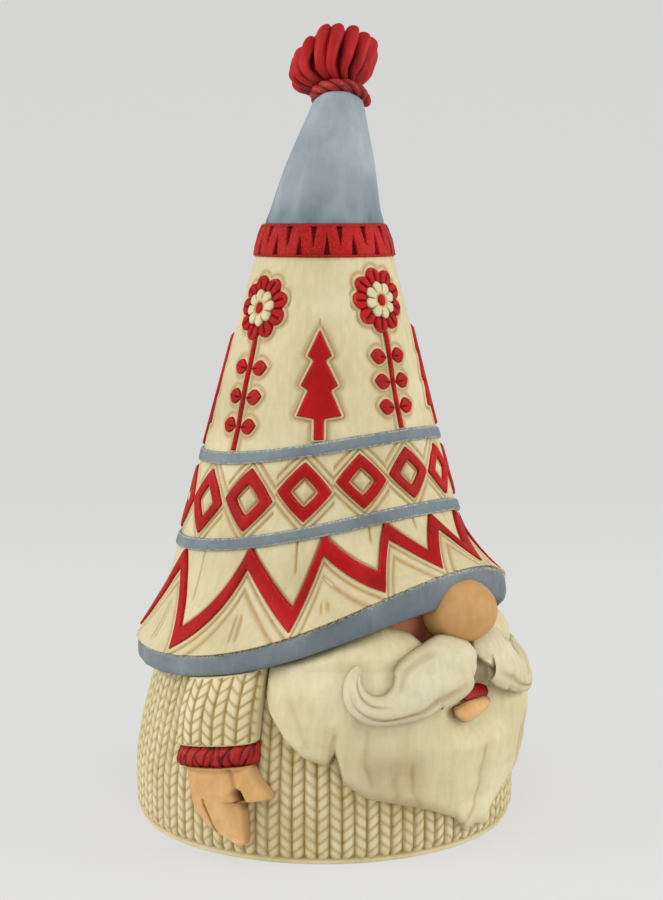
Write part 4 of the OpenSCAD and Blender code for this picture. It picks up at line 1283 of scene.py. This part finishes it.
# %% Stems
u = np.linspace(0, 1, 50)
across = np.array([-1, -0.8, -0.4, 0, 0.4, 0.8, 1, 0.6, -0.6])
lifts = np.array([0.2, 0.7, 1.0, 1.1, 1.0, 0.7, 0.2, -0.5, -0.5])
stems = []
for spot in flower_spots:
    low = panel_low(spot) - 0.3
    height = low + (flower_z(spot) - FLOWER_R + 0.6 - low) * u[:, None]
    x = STEM_W / 2 * across[None] + 0.2 * np.sin(height / 4)
    stems.append(on_cone(spot, x, height + 0 * x, lifts[None] + 0 * x))
cast("flower stems", np.stack(stems), "flower_stems", "red", "pattern_red", worn=0.3)

# %% Leaves
spots = []
outlines = []
middles = []
for spot in flower_spots:
    for leaf in leaves(spot):
        for side in (1, -1):
            spots.append(spot)
            outlines.append(leaf * [side, 1])
            middles.append(np.broadcast_to(leaf.mean(0) * [side, 1], leaf.shape))
shares = np.array([0.04, 0.35, 0.65, 0.85, 0.95, 1, 1, 0.1])
lifts = np.array([0.95, 0.95, 0.9, 0.8, 0.6, 0.3, -0.5, -0.5])
t = np.linspace(0, 2 * np.pi, 41)[None, :-1]
crease = 0.6 * dip(np.abs(np.sin(t)), 0, 0.35) * (np.cos(t) < 0.1)
top = (lifts > 0.5)[:, None]
raised("leaves", spots, np.stack(outlines), np.stack(middles), shares, lifts[:, None] - crease * top,
       "flower_stems", "red", "pattern_red", False, wash=np.clip(1.3 * crease * top, 0, 1),
       worn=0.5 * dip(shares[:, None], 0.85, 0.1))

# %% Diamonds
t = np.linspace(0, 2 * np.pi, 4 * 24 + 1)[:-1]
ROUND = 2 / 1.12
spots = DIAMOND_AT + PITCH * np.arange(DIAMONDS)
outlines = []
for spot in spots:
    mid, half_h, half_w = diamond_size(spot)
    x = half_w * np.sign(np.cos(t)) * np.abs(np.cos(t)) ** ROUND
    y = half_h * np.sign(np.sin(t)) * np.abs(np.sin(t)) ** ROUND
    outlines.append(np.stack([x, y + mid], -1))
outlines = np.stack(outlines)
middles = np.broadcast_to(outlines.mean(1, keepdims=True), outlines.shape)
inner = middles + (outlines - middles) * HOLE
shares = np.array([0, 0, 0.08, 0.2, 0.5, 0.8, 0.92, 1, 1])
lifts = np.array([-0.5, 0.35, 0.75, 0.95, 1.0, 0.95, 0.75, 0.35, -0.5])
raised("diamonds", spots, outlines, inner, shares, lifts[:, None],
       "hat_diamonds", "red", "pattern_red", True,
       worn=0.6 * (dip(shares[:, None], 0.08, 0.06) + dip(shares[:, None], 0.92, 0.06)) + 0 * t)

# %% Zigzag
angle = np.linspace(-180, 180, 1441)[None, :-1]
upper, lower, slope = zigzag_lines(angle)
flat_top = band_low_z(angle) - BAND_H - 0.1
upper = np.minimum(upper + 0.35 * STROKE * np.sqrt(1 + slope**2), flat_top)
lower = lower + 0.1 * STROKE
shares = np.array([0, 0, 0.05, 0.14, 0.5, 0.86, 0.95, 1, 1])[:, None]
lifts = np.array([-0.5, 0.35, 0.75, 0.95, 1.0, 0.95, 0.75, 0.35, -0.5])[:, None]
height = upper * (1 - shares) + lower * shares
points = at(hat_r(angle, height) + lifts, angle, height)
cast("zigzag", points, "hat_zigzag", "red", "pattern_red", ring=True, sharp=60,
     worn=0.5 * (dip(shares, 0.05, 0.04) + dip(shares, 0.95, 0.04)) + 0 * angle)

# %% [markdown]
# ## Bands, rolled edge and collar
# Two plain blue bands divide the hat, a thick blue edge hangs under it, and a red ribbon closes it at
# the top. They are sections carried round the hat. Their faces are uneven knife cuts, made with scoops
# that close on themselves round the figure.


# %% Bands
def band(name, top_line, stands_for, seed):
    angle = np.linspace(-180, 180, 721)[None, :-1]
    share = np.array([0, 0, 0.06, 0.16, 0.35, 0.5, 0.65, 0.84, 0.94, 1, 1])[:, None]
    lift = np.array([-0.4, 0.5, 0.95, 1.15, 1.2, 1.2, 1.2, 1.15, 0.95, 0.5, -0.4])[:, None]
    uneven = wobble(angle, seed, 0.16) * (share < 0.5) + wobble(angle, seed + 1, 0.16) * (share >= 0.5)
    height = top_line(angle) - BAND_H * share + uneven
    cut = scoops(angle / 360 * 44, share * 1.4, 0.35, seed=seed, around=44) * (lift > 0.9)
    points = at(hat_r(angle, height) + lift + cut, angle, height)
    worn = 0.7 * (dip(share, 0.06, 0.05) + dip(share, 0.94, 0.05)) + 0 * angle
    return cast(name, points, stands_for, "band", "band_blue", ring=True, sharp=60, worn=worn)


band("lower band", band_low_z, "hat_band_lower", 21)
band("upper band", band_up_z, "hat_band_upper", 31)

# %% Rolled edge
angle = np.linspace(-180, 180, 901)[None, :-1]
t = np.linspace(0, 2 * np.pi, 41)[:-1][:, None]
out = TRIM_W / 2 * np.sign(np.cos(t)) * np.abs(np.cos(t)) ** 0.6
up = edge_h(angle) / 2 * np.sign(np.sin(t)) * np.abs(np.sin(t)) ** 0.6
cut = scoops(angle / 360 * 34, up / 14, 1.3, seed=7, around=34) * rise(np.cos(t), -0.2, 0.3)
ragged = wobble(angle * 3, 12, 0.1) * rise(np.sin(t), 0.3, 0.9)
radius = brim_r(angle) + 0.4 - TRIM_W / 2 + out + cut
sagging = wobble(angle, 17, 0.15) * rise(-np.sin(t), 0.3, 0.9)
height = edge_z(angle) - edge_h(angle) / 2 - 0.05 + up + ragged + sagging
worn = 0.8 * dip(np.sin(t), 0.85, 0.2) * (np.cos(t) > 0) + 0.25 * rise(cut, -0.12, 0) * (np.cos(t) > 0.2)
# Painted shade: the underside of the rolled edge is darkened with the band paint's dark grey.
cast("rolled edge", at(radius, angle, height), "hat_brim_edge", "band", "band_blue", ring=True, sharp=60,
     wash=0.5 * rise(-np.sin(t), 0.75, 1) + 0 * angle, worn=worn)

# %% Collar
NOTCHES = 16
angle = np.linspace(-180, 180, 601)[None, :-1]
share = np.linspace(0, 1, 44)[:, None]
height = collar_low + collar_h * share
pitch_w = 2 * np.pi * cone(collar_low) / NOTCHES
turns = (angle + 180) / 360 * NOTCHES
off_low = np.abs(turns - np.round(turns)) * pitch_w
off_high = np.abs(turns + 0.5 - np.round(turns + 0.5)) * pitch_w
half_notch = 0.115 * pitch_w
reach = 0.62
into_low = half_notch * (1 - (share - 0.08) / reach) - off_low
into_high = half_notch * (1 - (0.92 - share) / reach) - off_high
open_low = rise(into_low, -0.2, 0.3) * (share > 0.08)
open_high = rise(into_high, -0.2, 0.3) * (share < 0.92)
notch = np.maximum(open_low, open_high)
border = dip(share, 0.085, 0.018) + dip(share, 0.915, 0.018)
swell = 0.35 * np.sin(np.pi * share) + 0.3 * scoops(turns * 2, share * 3, 1, seed=13, around=32)
edge = 0.8 * (1 - rise(share, 0, 0.05) * rise(1 - share, 0, 0.05))
relief = swell - 1.3 * notch - 0.25 * border - edge
outer = at(cone(height) + 1.0 + relief, angle, height + 0 * angle)
seat = at(cone(collar_z) - 1.85, angle, np.array([[collar_z], [collar_low]]) + 0 * angle)
stain_and_shade = np.concatenate([np.clip(0.85 * notch + 0.5 * border, 0, 1), np.zeros(seat.shape[:2])])
worn = 0.45 * (1 - notch) * dip(notch, 0.1, 0.12) + 0.3 * rise(swell, 0.1, 0.35)
worn = np.concatenate([worn, np.zeros(seat.shape[:2])])
cast("collar", np.concatenate([outer, seat]), "hat_collar", "red", "pattern_red", ring=True,
     wash=stain_and_shade, worn=worn)

# %% [markdown]
# ## Tip, cord and tuft
# Above the collar the hat is bare blue cloth that bends to the figure's left. A twisted cord is tied
# round its end, and thick strands burst out of it. The strands are tubes that each have their own
# lean, height and thickness, so that dark gaps stay between them, and painted shade darkens their inner
# sides and bases.

# %% Bent tip
BEND_TO = 100
TILT_TO = 130
TIP_BEND = 9


def bend(height):
    """Sideways shift of the tip, growing with the power 1.6 of the height over the collar."""
    return TIP_BEND * (np.maximum(0, height - collar_z) / TIP_H) ** 1.6


def bend_slope(height):
    """How much a ring of the tip leans."""
    return 1.9 * TIP_BEND / TIP_H * (np.maximum(0, height - collar_z) / TIP_H) ** 1.3


angle = np.linspace(-180, 180, 145)[None, :-1]
level = np.linspace(0, 1, 90)[:, None]
height = collar_z + TIP_H * level
flats = 0.5 * scoops(angle / 360 * 13, level * 2.2, 1, seed=15, around=13)
fine = 0.12 * scoops(angle / 360 * 34, level * 3.5, 1, seed=16, around=34)
radius = cone(height) - 0.3 + np.sin(np.pi * level) + flats + fine + 0.4 * dip(level, 0.02, 0.05)
radius = radius * np.sqrt(1 - 0.5 * np.clip((level - 0.96) / 0.04, 0, 1) ** 2)
sink = radius * np.cos(np.radians(angle - TILT_TO)) * bend_slope(height)
shift = bend(height) + 1.1 * np.sin(np.pi * level)
points = at(radius, angle, height - sink) + at(shift, BEND_TO, 0 * height)
foot = at(cone(collar_z) - 3 + 0 * angle, angle, collar_z + 0 * angle)
points = np.concatenate([foot, points])
# Painted shade at the foot of the tip, where it leaves the collar; lower on the tip the hollows of its
# facets are darker as well.
stain_and_shade = 0.55 * dip(level, 0, 0.12) + 0.35 * rise(-flats, 0.25, 0.45) * rise(0.6 - level, 0, 0.5)
stain_and_shade = np.concatenate([np.zeros(angle.shape), stain_and_shade + 0 * angle])
cast("bent tip", points, "hat_tip", "tip", "tip_blue", wash=stain_and_shade)

# %% Frame of the bent end
TILT = math.atan(bend_slope(tip_z))
tip_end = at(bend(tip_z), BEND_TO, tip_z)


def on_tip(points):
    """Places points from an upright tip on the bent one: turned to the bend, tilted, turned back."""
    turned = math.radians(TILT_TO - 90)
    cosine = math.cos(turned)
    sine = math.sin(turned)
    spin = np.array([[cosine, -sine, 0], [sine, cosine, 0], [0, 0, 1]])
    lean = np.array([
        [math.cos(TILT), 0, math.sin(TILT)], [0, 1, 0], [-math.sin(TILT), 0, math.cos(TILT)],
    ])
    return points @ (spin @ lean @ spin.T).T + tip_end


def tube(path, radius, around, bumps=None):
    """Rings of points round a path: each ring stands across the path's direction.

    The first side of a ring is across both the path and the upright, the second across that and
    the path. bumps scales the radius by the angle round the ring.
    """
    along = np.gradient(path, axis=0)
    along /= np.linalg.norm(along, axis=1, keepdims=True)
    first = np.cross(along, np.array([0.3, 0.2, 0.93]))
    first /= np.linalg.norm(first, axis=1, keepdims=True)
    second = np.cross(along, first)
    t = np.linspace(0, 2 * np.pi, around + 1)[None, :-1]
    size = radius[:, None] * (1 if bumps is None else bumps(t))
    aside = (size * np.cos(t))[..., None] * first[:, None]
    upward = (size * np.sin(t))[..., None] * second[:, None]
    return path[:, None] + aside + upward


# %% Twisted cord
CORD_R = 2.1
STRANDS = 3
WINDINGS = 12
turn = np.linspace(0, 2 * np.pi, 241)[:-1][:, None]
t = np.linspace(0, 2 * np.pi, 33)[None, :-1]
lobe = np.abs(np.sin((STRANDS * t + WINDINGS * turn) / 2))
thick = CORD_R * (0.8 + 0.26 * lobe**0.7)
ring_r = TIP_R - CORD_R + 1.4 + thick * np.cos(t)
points = np.stack([ring_r * np.sin(turn), -ring_r * np.cos(turn), CORD_R - 0.9 + thick * np.sin(t)], -1)
cast("twisted cord", on_tip(points), "pompom_cord", "cord", "cord_red", ring=True,
     wash=dip(lobe, 0, 0.3), worn=0.4 * rise(lobe, 0.8, 1))

# %% Cord's loose end
u = np.linspace(0, 1, 40)[:, None]
curl = np.radians(40 + 40 * u)
way = 8.2 + 1.2 * np.sin(np.pi * u)
drop = 1.2 - 2.6 * np.sin(1.6 * np.pi * u) * u
path = np.concatenate([way * np.sin(curl), -way * np.cos(curl), drop], 1)
size = 1.7 * np.sqrt(np.clip(np.minimum(u[:, 0] * 8, (1 - u[:, 0]) * 5), 0.02, 1))
cast("cord end", on_tip(tube(path, size, 16)), "pompom_cord", "cord", "cord_red",
     wash=0.4 * dip(u, 0.5, 0.1) + 0 * np.zeros((40, 16)))

# %% Tuft
FALL_TO = -137
RINGS = 16
u = np.linspace(0, 1, 40)[:, None]
fall = 3.6 * np.sin(np.pi / 2 * np.clip((u - 0.06) * 4, 0, 1)) - 3.2 * u**2


def strand(way, spread, tall, thick, seed):
    """Strand from the cord outward and up, with its own lean; it swells and ends in a blunt top.

    It runs out fast at first, then upright, and the whole tuft falls to one side with it.
    """
    out = 4.4 + (spread - 4.4) * np.sin(np.pi / 2 * np.clip((u - 0.06) * 2.4, 0, 1)) ** 0.9
    path = at(out, way, 2.2 + (tall - 2.2) * u) + at(fall, FALL_TO, 0 * u)
    path = path.reshape(-1, 3)
    end = np.sqrt(np.clip(1 - np.clip((u - 0.74) / 0.26, 0, 1) ** 2, 0.02, 1))
    size = thick * (0.36 + 0.7 * u**0.8) * end

    def bumps(t):
        return 1 + 0.11 * np.cos(3 * t + 5 * seed) + 0.07 * np.cos(4 * t + 9 * seed)

    return tube(path, size[:, 0], RINGS, bumps)


strands = []
OUTER = 15
for k in range(OUTER):
    chance = [scatter(k, row, 4) for row in range(4)]
    way = 360 * (k + 0.35 * chance[0]) / OUTER
    lower = 6 * np.clip(np.cos(np.radians(way - FALL_TO)), 0, 1) ** 2
    tall = 20.4 + 1.6 * chance[2] - lower
    strands.append(strand(way, 11.1 + 0.8 * chance[1], tall, 2.7 + 0.4 * chance[3], k))
INNER = 6
for k in range(INNER):
    chance = [scatter(k, row, 9) for row in range(4)]
    way = 360 * (k + 0.5) / INNER
    strands.append(strand(way, 6.2 + chance[1], 19.6 + 2 * chance[2], 2.8 + 0.3 * chance[3], k + 20))
for k in range(3):
    strands.append(strand(120 * k, 2.4, 20.4, 2.7, k + 31))
strands = np.stack(strands)
middle = strands.mean(2, keepdims=True)
axis = at(fall, FALL_TO, 2 + 18 * u).reshape(1, -1, 1, 3)
flat_out = (middle - axis) * [1, 1, 0]
outward = np.sum((strands - middle) * flat_out, -1)
outward /= np.linalg.norm(strands - middle, axis=-1) * np.linalg.norm(flat_out, axis=-1) + 1e-6
low_part = 1 - u[:, 0][None, :, None]
# Painted shade: each strand darkens on its side that faces into the tuft and towards its base, where the
# strands shade each other.
shade = 0.9 * rise(0.55 - outward, 0, 0.6) * rise(low_part, 0.05, 0.5)
shade = np.maximum(shade, 0.75 * rise(low_part, 0.7, 0.95))
cast("tuft", on_tip(strands), "pompom", "tuft", "cord_red", wash=shade)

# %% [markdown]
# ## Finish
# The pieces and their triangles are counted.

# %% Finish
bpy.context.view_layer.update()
triangles = sum(len(p.data.loop_triangles) or len(p.data.polygons) * 2 for p in pieces)
print("pieces:", len(pieces), "triangles:", triangles)
